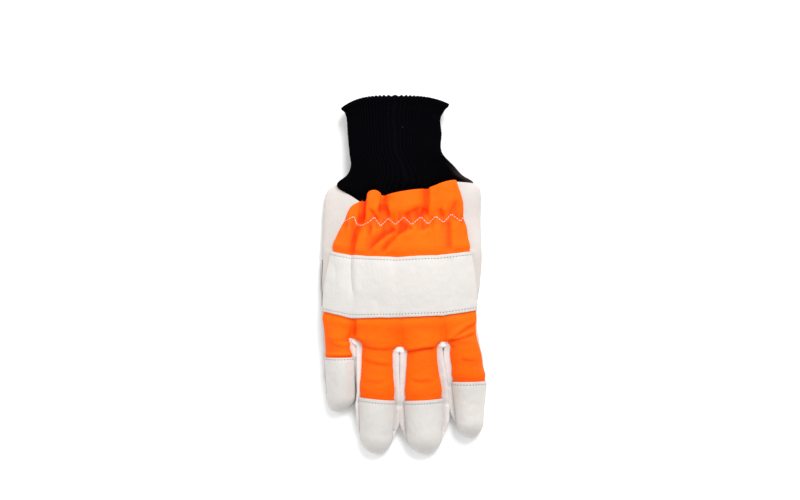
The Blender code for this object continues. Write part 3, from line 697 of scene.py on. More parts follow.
# Creases of the palm, of the same kind
PALM_FOLDS = (
    Fold(0.8, 1.6, 0.3, 0.2, 0.3, ((-58, -22), (-36, -30), (-10, -33), (14, -43))),
    Fold(0.8, 1.6, 0.3, 0.2, 0.3, ((58, -30), (34, -22), (6, -16), (-26, -12))),
    Fold(0.7, 1.5, 0.3, 0.2, 0.3, ((54, -26), (33, -8), (20, 16), (14, 38))),
    Fold(0.6, 1.3, 0.3, 0.2, 0.3, ((-60, -58), (-50, -60), (-40, -58))),
    Fold(0.6, 1.3, 0.3, 0.2, 0.3, ((-33, -74), (-20, -76), (-8, -74))),
    Fold(0.6, 1.3, 0.3, 0.2, 0.3, ((3, -76), (15, -78), (30, -75))),
    Fold(0.6, 1.3, 0.3, 0.2, 0.3, ((39, -66), (50, -68), (64, -66))),
    Fold(0.5, 1.3, 0.3, 0.2, 0.3, ((-34, -100), (-20, -102), (-8, -100))),
    Fold(0.5, 1.3, 0.3, 0.2, 0.3, ((2, -101), (16, -103), (31, -101))),
    Fold(0.5, 1.3, 0.3, 0.2, 0.3, ((43, -90), (52, -92), (63, -90))),
    Fold(0.9, 2.4, 0.4, 0.2, 0.4, ((-52, 66), (-50, 52), (-53, 36))),
    Fold(0.7, 2.2, 0.4, 0.2, 0.4, ((-20, 66), (-18, 54), (-24, 40))),
    Fold(0.7, 2.2, 0.4, 0.2, 0.4, ((22, 66), (26, 54), (24, 40))),
)

# Creases round the thumb, of the same kind
THUMB_FOLDS = (
    Fold(0.7, 1.4, 0.4, 0.1, 0.2, ((24, -12), (36, -16), (54, -14))),
    Fold(0.5, 1.3, 0.4, 0.1, 0.2, ((22, -16), (32, -20), (46, -19))),
    Fold(0.6, 1.4, 0.4, 0.2, 0.3, ((28, 8), (40, 4), (58, 6))),
)

# A fold's two slopes and its lip, in widths of the fold
STEEP = 0.55
GENTLE = 1.7
CREASE_ROUND = 0.30
LIP_PLACE = 1.9
LIP_WIDTH = 1.5

# Step of the points along a fold, in metres, and how many finer ones each is found with
PATH_STEP = 0.003
PATH_FINENESS = 8


def path(points, step):
    """A smooth path through points, as points at even steps."""
    points = np.asarray(points, float)
    places = lengths_along(points)
    count = max(2, int(round(places[-1] / step)) + 1)
    fine = spline(points, places, np.linspace(0, places[-1], PATH_FINENESS * count))
    lengths = lengths_along(fine)
    at = np.linspace(0, lengths[-1], count)
    return np.stack([np.interp(at, lengths, fine[:, i]) for i in range(points.shape[1])], axis=1)


def beside(x, y, line):
    """Signed distance of points from a line of points, and how far along it they are, 0 to 1."""
    best = np.full(x.shape, np.inf)
    side = np.ones(x.shape)
    along = np.zeros(x.shape)
    for i, (start, end) in enumerate(zip(line[:-1], line[1:])):
        dx, dy = end - start
        share = np.clip(((x - start[0]) * dx + (y - start[1]) * dy) / (dx**2 + dy**2), 0, 1)
        away_x, away_y = x - start[0] - share * dx, y - start[1] - share * dy
        away = np.hypot(away_x, away_y)
        nearer = away < best
        best = np.where(nearer, away, best)
        side = np.where(nearer, np.sign(dx * away_y - dy * away_x), side)
        along = np.where(nearer, (i + share) / (len(line) - 1), along)
    return best * np.where(side == 0, 1, side), along


def fold_relief(form, folds):
    """Height of the surface over its plain form, from folds that cut into it."""
    x, y = form[..., 0], form[..., 1]
    height = np.zeros(x.shape)
    for fold in folds:
        width = fold.width * MM
        away, along = beside(x, y, path(np.array(fold.points) * MM, PATH_STEP))
        fade = 1 - ramp(along, 1 - fold.fade_out, 1)
        if fold.fade_in:
            fade *= ramp(along, 0, fold.fade_in)
        raised = math.copysign(1, fold.lip) * away / width
        slope = np.where(raised > 0, STEEP, GENTLE)
        valley = np.exp(-(np.hypot(raised, CREASE_ROUND) - CREASE_ROUND) / slope)
        lip = abs(fold.lip) * np.exp(-(((raised - LIP_PLACE) / LIP_WIDTH) ** 2))
        height += fold.depth * MM * fade * (lip - valley)
    return height


def crumple(points, size, seed):
    """Soft irregular waves between -1 and 1, of a size in metres."""
    flat = points.reshape(-1, 3) / size + seed
    made = np.array([noise.noise(Vector(point)) for point in flat])
    return made.reshape(points.shape[:-1])


# The share of its thickness that a wall loses at its edge, and the angle from which a bend is sharp
EDGE_THINNING = 0.45
SHARP_ANGLE = math.radians(55)


def arc_places(points, axis):
    """How far each point of a grid is along its rows or columns, in metres."""
    steps = np.linalg.norm(np.diff(points, axis=axis), axis=2)
    start = np.zeros_like(np.take(steps, [0], axis=axis))
    return np.concatenate([start, np.cumsum(steps, axis=axis)], axis=axis)


def add_object(name, data):
    made = bpy.data.objects.new(name, data)
    bpy.context.scene.collection.objects.link(made)
    return made


def add_mesh(name, points, faces, material, uv, shade=None):
    """A smooth mesh. uv is the two distances along its cloth, and shade its painted marks: edge
    wear with painted seam shade on leather, painted shade in the cloth's folds and painted sheen on
    the knit.
    """
    mesh = bpy.data.meshes.new(name)
    faces = faces if isinstance(faces, list) else faces.tolist()
    mesh.from_pydata(np.asarray(points).tolist(), [], faces)
    mesh.update()
    mesh.shade_smooth()
    mesh.set_sharp_from_angle(angle=SHARP_ANGLE)
    corners = np.zeros(len(mesh.loops), np.int32)
    mesh.loops.foreach_get("vertex_index", corners)
    layer = mesh.uv_layers.new(name="cloth")
    layer.data.foreach_set("uv", np.asarray(uv, np.float32)[corners].ravel())
    if shade is not None:
        layer = mesh.attributes.new("shade", "FLOAT", "POINT")
        layer.data.foreach_set("value", np.asarray(shade, np.float32))
    mesh.materials.append(material)
    return add_object(name, mesh)


def add_sheet(name, points, cells, over, under, material, shade, normals=None):
    """A closed wall over a grid's cells, from under to over its points, with rounded edges."""
    normals = grid_normals(points, cells) if normals is None else normals
    soft = unit(blurred(normals, cells, WALL_BLURS))
    around = cells_around(cells)
    used = around > 0
    edge = np.where(around < 4, EDGE_THINNING, 0.0)[..., None]
    middle = (over + under) / 2
    top = points + (middle + (over - middle) * (1 - edge)) * normals
    bottom = points + (middle + (under - middle) * (1 - edge)) * soft
    index = np.cumsum(used).reshape(used.shape) - 1
    count = int(used.sum())
    i, j = np.nonzero(cells)
    corners = [index[i, j], index[i + 1, j], index[i + 1, j + 1], index[i, j + 1]]
    faces = [np.stack(corners, axis=1), np.stack(corners[::-1], axis=1) + count]
    padded = np.pad(cells, 1)
    for side, (di, dj) in enumerate(((0, -1), (1, 0), (0, 1), (-1, 0))):
        open_side = ~padded[i + 1 + di, j + 1 + dj]
        start, end = corners[side][open_side], corners[(side + 1) % 4][open_side]
        faces.append(np.stack([end, start, start + count, end + count], axis=1))
    uv = np.stack([arc_places(points, 1), arc_places(points, 0)], axis=2)[used]
    vertices = np.concatenate([top[used], bottom[used]])
    uv, shade = np.concatenate([uv, uv]), np.concatenate([shade[used]] * 2)
    return add_mesh(name, vertices, np.concatenate(faces), material, uv, shade)


def add_tube(name, outer, inner, material, uv, closed_end, shade=None):
    """A closed wall between two stacks of rings, open at its first ring."""
    rings, around = outer.shape[:2]
    points = np.concatenate([outer.reshape(-1, 3), inner.reshape(-1, 3)])
    inside = rings * around
    i, j = np.meshgrid(np.arange(rings - 1), np.arange(around), indexing="ij")
    i, j = i.ravel(), j.ravel()
    a, b = i * around + j, i * around + (j + 1) % around
    c, d = b + around, a + around
    faces = [np.stack([a, b, c, d], axis=1)]
    faces.append(np.stack([d, c, b, a], axis=1) + inside)
    j = np.arange(around)
    k = (j + 1) % around
    faces.append(np.stack([k, j, inside + j, inside + k], axis=1))
    last = (rings - 1) * around
    if not closed_end:
        faces.append(np.stack([last + j, last + k, inside + last + k, inside + last + j], axis=1))
    faces = np.concatenate(faces).tolist()
    if closed_end:
        faces.append([last + n for n in range(around)])
        faces.append([inside + last + n for n in reversed(range(around))])
    flat = np.concatenate([uv.reshape(-1, 2)] * 2)
    shade = np.zeros(outer.shape[:2]) if shade is None else shade
    return add_mesh(name, points, faces, material, flat, np.concatenate([shade.ravel()] * 2))


# Colours, as linear values
ORANGE = (0.95, 0.112, 0.0004)
# Painted shade of the cloth's folds and of the dips of its weave
SHADED_ORANGE = (0.74, 0.014, 0.0003)
FADED_ORANGE = (0.96, 0.138, 0.002)
GREY_LEATHER = (0.47, 0.46, 0.445)
# Grey of leather's edge wear and painted seam shade, and of a thread's soil and painted shade
WEAR_AND_SHADE_GREY = (0.20, 0.19, 0.18)
KNIT_BLACK = (0.0006, 0.0006, 0.0011)
# Painted sheen of the knit's loops, and its fuzz
KNIT_SHEEN_AND_FUZZ_GREY = (0.0042, 0.0040, 0.0060)
# Painted sheen on the cuff's sides near the hem
KNIT_SHEEN_BROWN = (0.080, 0.056, 0.054)
LINT = (0.22, 0.22, 0.23)
WHITE_THREAD = (0.93, 0.93, 0.92)
GREY_THREAD = (0.15, 0.15, 0.155)
FLOOR = (0.90, 0.90, 0.905)
PALE_FLOOR = (0.92, 0.92, 0.92)

# Each leather's plain colour and its warmer one. The strips' leather is lighter, with painted light
# for the shade between the fingers, and the palm's darker and pinker, with painted shade and a
# painted reflection of the orange.
LEATHERS = {
    "grain_leather": ((0.575, 0.552, 0.530), (0.600, 0.563, 0.525)),
    "band_grain_leather": ((0.520, 0.498, 0.478), (0.540, 0.507, 0.474)),
    "palm_painted_shade_leather": ((0.480, 0.440, 0.416), (0.490, 0.427, 0.398)),
    "strip_painted_light_leather": ((0.655, 0.612, 0.594), (0.672, 0.603, 0.572)),
}

Pattern = namedtuple(
    "Pattern", "size detail roughness low high to_low to_high stretch",
    defaults=(0.0, 1.0, 0.0, 1.0, None),
)

# Noises. Size is in metres, and what is from low to high in the noise runs from to_low to to_high.
MOTTLE = Pattern(0.016, 4.0, 0.6, 0.40, 0.66)
WRINKLE = Pattern(0.0045, 4.0, 0.65, 0.35, 0.7)
CREASE = Pattern(0.0045, 5.0, 0.6, stretch=(1.0, 0.55, 1.0))
# Spots of edge wear and painted seam shade
WEAR_AND_SHADE = Pattern(0.003, 3.0, 0.55, 0.25, 0.75, 0.15, 0.6)
LEATHER_GLOSS = Pattern(0.006, 3.0, 0.55, 0.3, 0.7, 0.50, 0.68)
FADE = Pattern(0.030, 3.0, 0.55, 0.40, 0.68)
SLUB = Pattern(0.0016, 2.0, 0.5, 0.58, 0.75, 0.0, 0.14, (1.0, 0.12, 1.0))
RUMPLE = Pattern(0.0050, 4.0, 0.55)
FABRIC_GLOSS = Pattern(0.008, 3.0, 0.55, 0.3, 0.7, 0.66, 0.8)
FUZZ = Pattern(0.0011, 3.0, 0.7, 0.45, 0.75)
LINTY = Pattern(0.012, 1.0, 0.55, 0.52, 0.60)
NAP = Pattern(0.0006, 3.0, 0.7)
SOIL = Pattern(0.002, 3.0, 0.55, 0.4, 0.7, 0.0, 0.4)
FLOOR_TONES = Pattern(0.4, 3.0, 0.55, 0.3, 0.7)
FLOOR_GRAIN = Pattern(0.003, 3.0, 0.55)

# Sizes of even patterns, in metres unless named otherwise
GRAIN = 0.00075
GRAIN_PITS = (0.42, 0.75)
WEAVE = 0.00055
STITCH_ROW = 0.0014
STITCH_CLIMB = 1.5
LINT_SPACING = 0.0060
LINT_SIZE = (0.045, 0.02)
STRAND = 0.0003
STRANDS = 2.0
FOLD_SHADES = (0.1, 2.5)

# Shares by which a second colour covers the first at most. The folds', the weave's and the strands'
# are painted shade, and the loops' painted sheen.
WRINKLE_TONE = 0.22
PIT_TONE = 0.16
FADE_TONE = 0.45
FOLD_SHADE_TONE = 0.76
WEAVE_SHADE_TONE = 0.14
LOOP_SHEEN_TONE = 0.55
FUZZ_TONE = 0.25
STRAND_SHADE_TONE = 0.5

# Depths of what the materials raise, in metres
CREASE_DEPTH = 0.0007
GRAIN_DEPTH = 0.00007
RUMPLE_DEPTH = 0.0008
WEAVE_DEPTH = 0.00004
LOOP_DEPTH = 0.00030
NAP_DEPTH = 0.00015
STRAND_DEPTH = 0.00006
FLOOR_DEPTH = 0.00005

# Roughness where no pattern changes it
LEATHER_ROUGHNESS = 0.6
FABRIC_ROUGHNESS = 0.75
KNIT_ROUGHNESS = 0.95
THREAD_ROUGHNESS = 0.6
FLOOR_ROUGHNESS = 0.8


class Nodes:
    """Short ways to add nodes to a new material and link them."""

    def __init__(self, name, roughness):
        self.material = bpy.data.materials.new(name)
        self.material.use_nodes = True
        self.tree = self.material.node_tree
        self.shader = self.tree.nodes["Principled BSDF"]
        self.shader.inputs["Roughness"].default_value = roughness
        self.place = self.add("ShaderNodeTexCoord").outputs["Object"]

    def add(self, kind, inputs=None, **settings):
        node = self.tree.nodes.new(kind)
        for name, value in settings.items():
            setattr(node, name, value)
        for name, value in (inputs or {}).items():
            self.set(node.inputs[name], value)
        return node

    def set(self, socket, value):
        if isinstance(value, bpy.types.NodeSocket):
            self.tree.links.new(value, socket)
        else:
            socket.default_value = value

    def math(self, operation, a, b=None):
        node = self.add("ShaderNodeMath", operation=operation)
        self.set(node.inputs[0], a)
        if b is not None:
            self.set(node.inputs[1], b)
        return node.outputs[0]

    def times(self, a, b):
        return self.math("MULTIPLY", a, b)

    def noise(self, pattern):
        place = self.place
        if pattern.stretch:
            inputs = {"Vector": place, "Scale": pattern.stretch}
            place = self.add("ShaderNodeMapping", inputs).outputs[0]
        inputs = {
            "Vector": place, "Scale": 1 / pattern.size,
            "Detail": pattern.detail, "Roughness": pattern.roughness,
        }
        return self.add("ShaderNodeTexNoise", inputs).outputs["Fac"]

    def spots(self, pattern):
        """A noise, cut to the range that its pattern uses."""
        return self.between(self.noise(pattern), pattern.low, pattern.high,
                            pattern.to_low, pattern.to_high)

    def cells(self, size):
        inputs = {"Vector": self.place, "Scale": 1 / size}
        return self.add("ShaderNodeTexVoronoi", inputs).outputs["Distance"]

    def between(self, value, low, high, to_low=0.0, to_high=1.0):
        inputs = {
            "Value": value, "From Min": low, "From Max": high, "To Min": to_low, "To Max": to_high,
        }
        return self.add("ShaderNodeMapRange", inputs).outputs[0]

    def mix(self, share, first, second):
        node = self.add("ShaderNodeMix", data_type="RGBA")
        self.set(node.inputs[0], share)
        for socket, value in ((node.inputs[6], first), (node.inputs[7], second)):
            self.set(socket, (*value, 1.0) if isinstance(value, tuple) else value)
        return node.outputs[2]

    def attribute(self, name):
        return self.add("ShaderNodeAttribute", attribute_name=name).outputs["Fac"]

    def cloth(self):
        """The two distances along a piece's cloth."""
        uv = self.add("ShaderNodeUVMap", uv_map="cloth").outputs[0]
        parts = self.add("ShaderNodeSeparateXYZ", {"Vector": uv})
        return parts.outputs[0], parts.outputs[1]

    def bump(self, height, depth, below=None):
        inputs = {"Height": height, "Distance": depth, "Strength": 1.0}
        if below is not None:
            inputs["Normal"] = below
        return self.add("ShaderNodeBump", inputs).outputs[0]

    def finish(self, colour, roughness, normal, **fixed):
        self.set(self.shader.inputs["Base Color"], colour)
        self.set(self.shader.inputs["Roughness"], roughness)
        self.set(self.shader.inputs["Normal"], normal)
        for name, value in fixed.items():
            self.shader.inputs[name.replace("_", " ")].default_value = value
        return self.material


def leather_material(name, plain, warm):
    """Pale grain leather: mottled, creased, and greyer along its seams and cut edges, from wear and
    painted seam shade.
    """
    nodes = Nodes(name, LEATHER_ROUGHNESS)
    colour = nodes.mix(nodes.spots(MOTTLE), plain, warm)
    colour = nodes.mix(nodes.times(nodes.spots(WRINKLE), WRINKLE_TONE), colour, GREY_LEATHER)
    pores = nodes.cells(GRAIN)
    pits = nodes.times(nodes.between(pores, *GRAIN_PITS), PIT_TONE)
    colour = nodes.mix(pits, colour, GREY_LEATHER)
    # Edge wear and painted seam shade: greyer along the seams and cut edges
    wear_and_seam_shade = nodes.times(nodes.attribute("shade"), nodes.spots(WEAR_AND_SHADE))
    colour = nodes.mix(wear_and_seam_shade, colour, WEAR_AND_SHADE_GREY)
    normal = nodes.bump(nodes.noise(CREASE), CREASE_DEPTH)
    normal = nodes.bump(nodes.math("SUBTRACT", 1.0, pores), GRAIN_DEPTH, normal)
    return nodes.finish(colour, nodes.spots(LEATHER_GLOSS), normal, Specular_IOR_Level=0.30,
                        Sheen_Weight=0.10, Sheen_Roughness=0.5)


def fabric_material():
    """Bright fluorescent plain weave, whose threads pass over and under, with painted shade, darker
    and redder, in its folds and where its threads dip.
    """
    nodes = Nodes("orange_weave", FABRIC_ROUGHNESS)
    # Painted shade: the deeper a fold, the darker and redder the cloth
    depth = nodes.between(nodes.attribute("shade"), *FOLD_SHADES)
    colour = nodes.mix(nodes.times(nodes.spots(FADE), FADE_TONE), ORANGE, FADED_ORANGE)
    colour = nodes.mix(nodes.times(depth, FOLD_SHADE_TONE), colour, SHADED_ORANGE)
    waves = [nodes.math("SINE", nodes.times(along, math.pi / WEAVE)) for along in nodes.cloth()]
    weave = nodes.times(*waves)
    # Painted shade where the weave's threads dip
    colour = nodes.mix(nodes.between(weave, -1.0, 1.0, WEAVE_SHADE_TONE, 0.0), colour, SHADED_ORANGE)
    colour = nodes.mix(nodes.spots(SLUB), colour, FADED_ORANGE)
    normal = nodes.bump(nodes.noise(RUMPLE), RUMPLE_DEPTH)
    normal = nodes.bump(weave, WEAVE_DEPTH, normal)
    return nodes.finish(colour, nodes.spots(FABRIC_GLOSS), normal, Specular_IOR_Level=0.10)


def knit_material():
    """Black rib knit with V stitches down each rib, painted sheen on their loops and on the sides
    near the hem, and a little lint.
    """
    nodes = Nodes("black_rib_knit", KNIT_ROUGHNESS)
    rib, along = nodes.cloth()
    across = nodes.math("PINGPONG", rib, 0.5)
    climb = nodes.times(across, STITCH_CLIMB)
    rows = nodes.math("ADD", nodes.times(along, 1 / STITCH_ROW), climb)
    loops = nodes.between(nodes.math("SINE", nodes.times(rows, 2 * math.pi)), -1.0, 1.0)
    # Painted sheen on the loops along the rib crests, greyer than the black
    rib_crest = nodes.math("SUBTRACT", 1.0, nodes.between(across, 0.0, 0.5))
    share = nodes.times(nodes.times(loops, rib_crest), LOOP_SHEEN_TONE)
    share = nodes.math("ADD", share, nodes.times(nodes.spots(FUZZ), FUZZ_TONE))
    colour = nodes.mix(share, KNIT_BLACK, KNIT_SHEEN_AND_FUZZ_GREY)
    # Painted brown sheen on the cuff's sides near the hem
    colour = nodes.mix(nodes.attribute("shade"), colour, KNIT_SHEEN_BROWN)
    specks = nodes.between(nodes.cells(LINT_SPACING), *LINT_SIZE)
    colour = nodes.mix(nodes.times(specks, nodes.spots(LINTY)), colour, LINT)
    normal = nodes.bump(loops, LOOP_DEPTH)
    normal = nodes.bump(nodes.noise(NAP), NAP_DEPTH, normal)
    return nodes.finish(colour, KNIT_ROUGHNESS, normal, Specular_IOR_Level=0.02)


def thread_material(name, colour, shade_and_soil):
    """Twisted thread: strands that wind round each stitch, with painted shade between them, and
    soil.
    """
    nodes = Nodes(name, THREAD_ROUGHNESS)
    around, along = nodes.cloth()
    wound = nodes.math("ADD", nodes.times(along, 1 / STRAND), nodes.times(around, STRANDS))
    strands = nodes.math("SINE", nodes.times(wound, math.pi))
    # Painted shade between the strands, and spots of soil
    tint = nodes.mix(nodes.between(strands, -1.0, 1.0, STRAND_SHADE_TONE, 0.0), colour, shade_and_soil)
    tint = nodes.mix(nodes.spots(SOIL), tint, shade_and_soil)
    normal = nodes.bump(strands, STRAND_DEPTH)
    return nodes.finish(tint, THREAD_ROUGHNESS, normal, Specular_IOR_Level=0.35)


def floor_material():
    """A pale matt floor."""
    nodes = Nodes("pale_floor", FLOOR_ROUGHNESS)
    tint = nodes.mix(nodes.spots(FLOOR_TONES), FLOOR, PALE_FLOOR)
    normal = nodes.bump(nodes.noise(FLOOR_GRAIN), FLOOR_DEPTH)
    return nodes.finish(tint, FLOOR_ROUGHNESS, normal, Specular_IOR_Level=0.1)


# Thread and stitches: the thread's radius, the seams' pitch and inset and the height from which a
# path drops onto a surface, in metres. A stitch's ends, rise and dive are shares of the radius.
THREAD = 0.00030
ZIGZAG_THREAD = 0.00024
STITCH_PITCH = 0.0025
STITCH_SHARE = 0.56
STITCH_RINGS = 7
STITCH_SIDES = 6
END_THICKNESS = 0.45
STITCH_RISE = 1.5
STITCH_DIVE = 0.9
RISE_POWER = 0.6
SEAM_INSET = 0.0024
DROP_FROM = 0.20

# The zigzag over the gathers: its corners along the back, in millimetres
ZIGZAG = MM * np.array((
    (-47.6, 42.3), (-39.2, 46.8), (-36.4, 40.1), (-33.0, 39.5), (-26.8, 42.3), (-22.9, 46.2),
    (-17.8, 39.0), (-11.7, 45.1), (-6.1, 40.1), (0.6, 46.2), (6.8, 40.1), (14.2, 46.2),
    (19.8, 40.6), (25.9, 46.8), (32.1, 41.8), (38.2, 48.5), (45.6, 42.9), (48.4, 46.8),
))
ZIGZAG_SHARE = 0.80
LEG_POINTS = 12


class Stitches:
    """Many short stitches of one thread, laid along paths and joined into one mesh."""

    def __init__(self, radius):
        self.radius = radius
        self.points, self.faces, self.places = [], [], []

    def add(self, start, end, up):
        """One stitch from start to end that rises out of the cloth and dives back into it."""
        span = end - start
        length = np.linalg.norm(span)
        if length < self.radius:
            return
        forward = span / length
        side = np.cross(forward, up)
        side /= np.linalg.norm(side)
        above = np.cross(side, forward)
        base = len(self.points)
        for i in range(STITCH_RINGS):
            t = i / (STITCH_RINGS - 1)
            arch = math.sin(math.pi * t)
            thick = self.radius * (END_THICKNESS + (1 - END_THICKNESS) * arch ** 0.5)
            height = self.radius * (STITCH_RISE * arch ** RISE_POWER - STITCH_DIVE)
            middle = start + span * t + above * height
            for j in range(STITCH_SIDES):
                turn = 2 * math.pi * j / STITCH_SIDES
                out = side * math.cos(turn) + above * math.sin(turn)
                self.points.append(middle + thick * out)
                self.places.append((j / STITCH_SIDES, t * length))
        for i in range(STITCH_RINGS - 1):
            for j in range(STITCH_SIDES):
                a = base + i * STITCH_SIDES + j
                b = base + i * STITCH_SIDES + (j + 1) % STITCH_SIDES
                self.faces.append((a, b, b + STITCH_SIDES, a + STITCH_SIDES))
        last = base + (STITCH_RINGS - 1) * STITCH_SIDES
        self.faces.append(tuple(base + j for j in reversed(range(STITCH_SIDES))))
        self.faces.append(tuple(last + j for j in range(STITCH_SIDES)))

    def sew(self, path_points, ups, share=STITCH_SHARE):
        """Even stitches along a path on a surface, each as long as a share of the pitch."""
        places = lengths_along(path_points)
        count = max(1, int(round(places[-1] / STITCH_PITCH)))
        pitch = places[-1] / count
        for i in range(count):
            ends = pitch * np.array((i + (1 - share) / 2, i + (1 + share) / 2))
            start, end = (np.array([np.interp(at, places, path_points[:, k]) for k in range(3)])
                          for at in ends)
            up = np.array([np.interp(ends.mean(), places, ups[:, k]) for k in range(3)])
            self.add(start, end, up)

    def make(self, name, material):
        return add_mesh(name, self.points, self.faces, material, self.places)


def surface_tree(piece):
    """A search tree of a piece's faces."""
    points = [vertex.co.copy() for vertex in piece.data.vertices]
    faces = [list(polygon.vertices) for polygon in piece.data.polygons]
    return BVHTree.FromPolygons(points, faces)


def dropped(flat, tree):
    """A path of x and y laid down on a surface, with the surface's normals."""
    found, ups = [], []
    for x, y in flat:
        hit, normal, _, _ = tree.ray_cast(Vector((x, y, DROP_FROM)), Vector((0, 0, -1)))
        if hit is not None:
            found.append(np.array(hit))
            ups.append(np.array(normal))
    return np.array(found), np.array(ups)


def grid_path(points, normals, row, columns):
    """A path along a grid at a row that may lie between two of its rows, and its normals."""
    low = int(math.floor(row))
    share = row - low
    return [field[low, columns] * (1 - share) + field[low + 1, columns] * share
            for field in (points, normals)]


# Fine steps of the cuff, the thumb and the strips between the fingers
RIBS = 88
RIB_POINTS = 6
RIB_HEIGHT = 0.0010
KNIT_ROW = 0.0014
THUMB_ROW = 0.0014
STRIP_CELLS = 16

Wave = namedtuple("Wave", "height size seed")
Hide = namedtuple("Hide", "seed strength")

# Soft irregular waves of fabric and leather, and how each leather piece takes the leather's
FABRIC_WAVES = (Wave(0.00060, 0.017, 1.0), Wave(0.00016, 0.0055, 2.0))
HIDE_WAVES = (Wave(0.00045, 0.022, 3.1), Wave(0.00013, 0.0065, 10.1))
BAND_EDGE_WAVES = (Wave(0.00035, 0.008, 9.0),)
BAND_HIDE = Hide(0.0, 1.0)
CAP_HIDE = Hide(20.0, 0.8)
STRIP_HIDE = Hide(40.0, 1.5)
PALM_HIDE = Hide(60.0, 1.4)
THUMB_HIDE = Hide(80.0, 1.5)

# The belt under the zigzag and its ripples, in metres, and the size and seed of their wander
BELT_WIDTH = 0.0042
BELT_DEPTH = 0.0010
RIPPLE_PITCH = 0.0062
RIPPLE_HEIGHT = 0.00055
RIPPLE_REACH = 0.0095
RIPPLE_DRIFT = 0.55
RIPPLE_LEVEL = 0.75
RIPPLE_CHANGE = 0.5
WANDER = (0.013, 5.0)

# The padded back: its puffs beside the leather, and how its seams and the hem hold it down
PRESS_ROWS = 5
PUFF = 0.0011
PUFF_PLACE = 0.0060
PUFF_WIDTH = 0.0045
SEAM_HOLD = 0.12
SEAM_BLURS = 7
SEAM_LIFT = 0.0014
SEAM_TUCK = 0.0012
BAND_LIFT = 0.00225
BAND_EDGE_ROWS = 5
HEM_CELLS = 12
HEM_SINK = 0.0012
FREE_SINK = 0.0060
HEM_SINK_LINES = (11, 22)
HEM_WAY = 3
LIP_SOFTENING = 120

# Wear and painted seam shade of edges, and the valleys of seams
EDGE_BLURS = 2
EDGE_GAIN = 1.6
EDGE_LOSS = 0.2
GROOVE_DEPTH = 0.00018
GROOVE_WIDTH = 0.0009

# The palm, its patch and the thumb's hole. A seam column's share is its part of the tuck and lift.
FLOOR_GAP = 0.0001
PALM_SHADE = 0.4
SEAM_COLUMNS = ((0, 1.0), (1, 0.5), (-2, -0.5), (-1, -1.0))
PATCH_SEAMS = (0.0016, 0.0036)
PATCH_INSET = 3
PATCH_BLURS = 4
PATCH_THREADS = 3
HOLE_SEAM = 2
HOLE_REACH = (1.0, 1.6)
THUMB_ROOT_ROWS = 8
THUMB_TIP_ROWS = 3


def in_rows(start, end, fade):
    """1 for the fine lines from start to end, running out to 0 over some lines to either side."""
    return ramp(LINES.rows, start - fade, start) * (1 - ramp(LINES.rows, end, end + fade))


def waves(points, table, seed=0.0):
    return sum(wave.height * crumple(points, wave.size, wave.seed + seed) for wave in table)


def hide_relief(points, hide, more=0):
    """Soft dents and creases of leather."""
    return hide.strength * waves(points, HIDE_WAVES, hide.seed + more)


def edge_shade(cells, times=EDGE_BLURS):
    """Share of edge wear and painted seam shade of a sheet's points: 1 at its edge, and less next
    to it.
    """
    around = cells_around(cells)
    shade = np.where((around > 0) & (around < 4), 1.0, 0.0)
    return np.clip(EDGE_GAIN * blurred(shade, cells, times) - EDGE_LOSS, 0, 1)


def gather_relief(form):
    """The pinched belt under the zigzag, and the ripples of cloth that it gathers."""
    x, y = form[..., 0], form[..., 1]
    level = np.polyval(np.polyfit(ZIGZAG[:, 0], ZIGZAG[:, 1], 1), x)
    wander = crumple(form, *WANDER)
    phase = 2 * math.pi * (x / RIPPLE_PITCH + RIPPLE_DRIFT * wander)
    ripples = RIPPLE_HEIGHT * groove(y - level, RIPPLE_REACH) * np.sin(phase)
    ripples *= RIPPLE_LEVEL + RIPPLE_CHANGE * wander
    return ripples - BELT_DEPTH * groove(y - level, BELT_WIDTH)


def fabric_relief(form, cells):
    """Folds, gathers and puffs of the padded back, held down at its seams, and its folds alone,
    whose depth is painted as shade.
    """
    folds = fold_relief(form, FABRIC_FOLDS) + gather_relief(form)
    relief = folds + waves(form, FABRIC_WAVES)
    for line, way in ((BAND_TOP, -1), (BAND_END, 1), (CAP_START, -1)):
        place = LINES.of[line] * STEP + way * PUFF_PLACE
        relief += PUFF * groove(LINES.rows * STEP - place, PUFF_WIDTH)[:, None]
    above = np.ones((HEM_CELLS, cells.shape[1]), bool)
    seams = edge_shade(np.concatenate([above, cells]), SEAM_BLURS)[HEM_CELLS:]
    held = 1 - (1 - SEAM_HOLD) * seams
    sink = (HEM_SINK + FREE_SINK * ramp(LINES.rows, *HEM_SINK_LINES))[:, None]
    return np.where(relief < 0, sink * np.tanh(relief / sink), relief) * held, folds * held


def add_hem_lip(points, normals, shade):
    """Rows at the top that turn the cloth's hem down and under."""
    out = unit(soft_line(points[0] - points[HEM_WAY], LIP_SOFTENING))
    up = unit(soft_line(normals[0], LIP_SOFTENING))
    turns = np.linspace(math.pi / 2, 0, HEM_LIP_LINES, endpoint=False)[:, None, None]
    lip = points[0] + HEM_LIP * np.sin(turns) * out - HEM_LIP * (1 - np.cos(turns)) * up
    shade = np.concatenate([np.repeat(shade[:1], len(lip), 0), shade])
    return np.concatenate([lip, points]), shade


def sewn_leather(form, normals, relief, seams, wall, columns, thread):
    """Points of leather that lies over the back, with the rows of stitches that hold it sewn."""
    for seam in seams:
        away = (LINES.rows - seam) * STEP
        relief = relief - GROOVE_DEPTH * groove(away, GROOVE_WIDTH)[:, None]
    leather = form + relief[..., None] * normals
    over = leather + (CLEARANCE + wall) * normals
    for seam in seams:
        thread.sew(*grid_path(over, normals, seam, columns))
    return leather


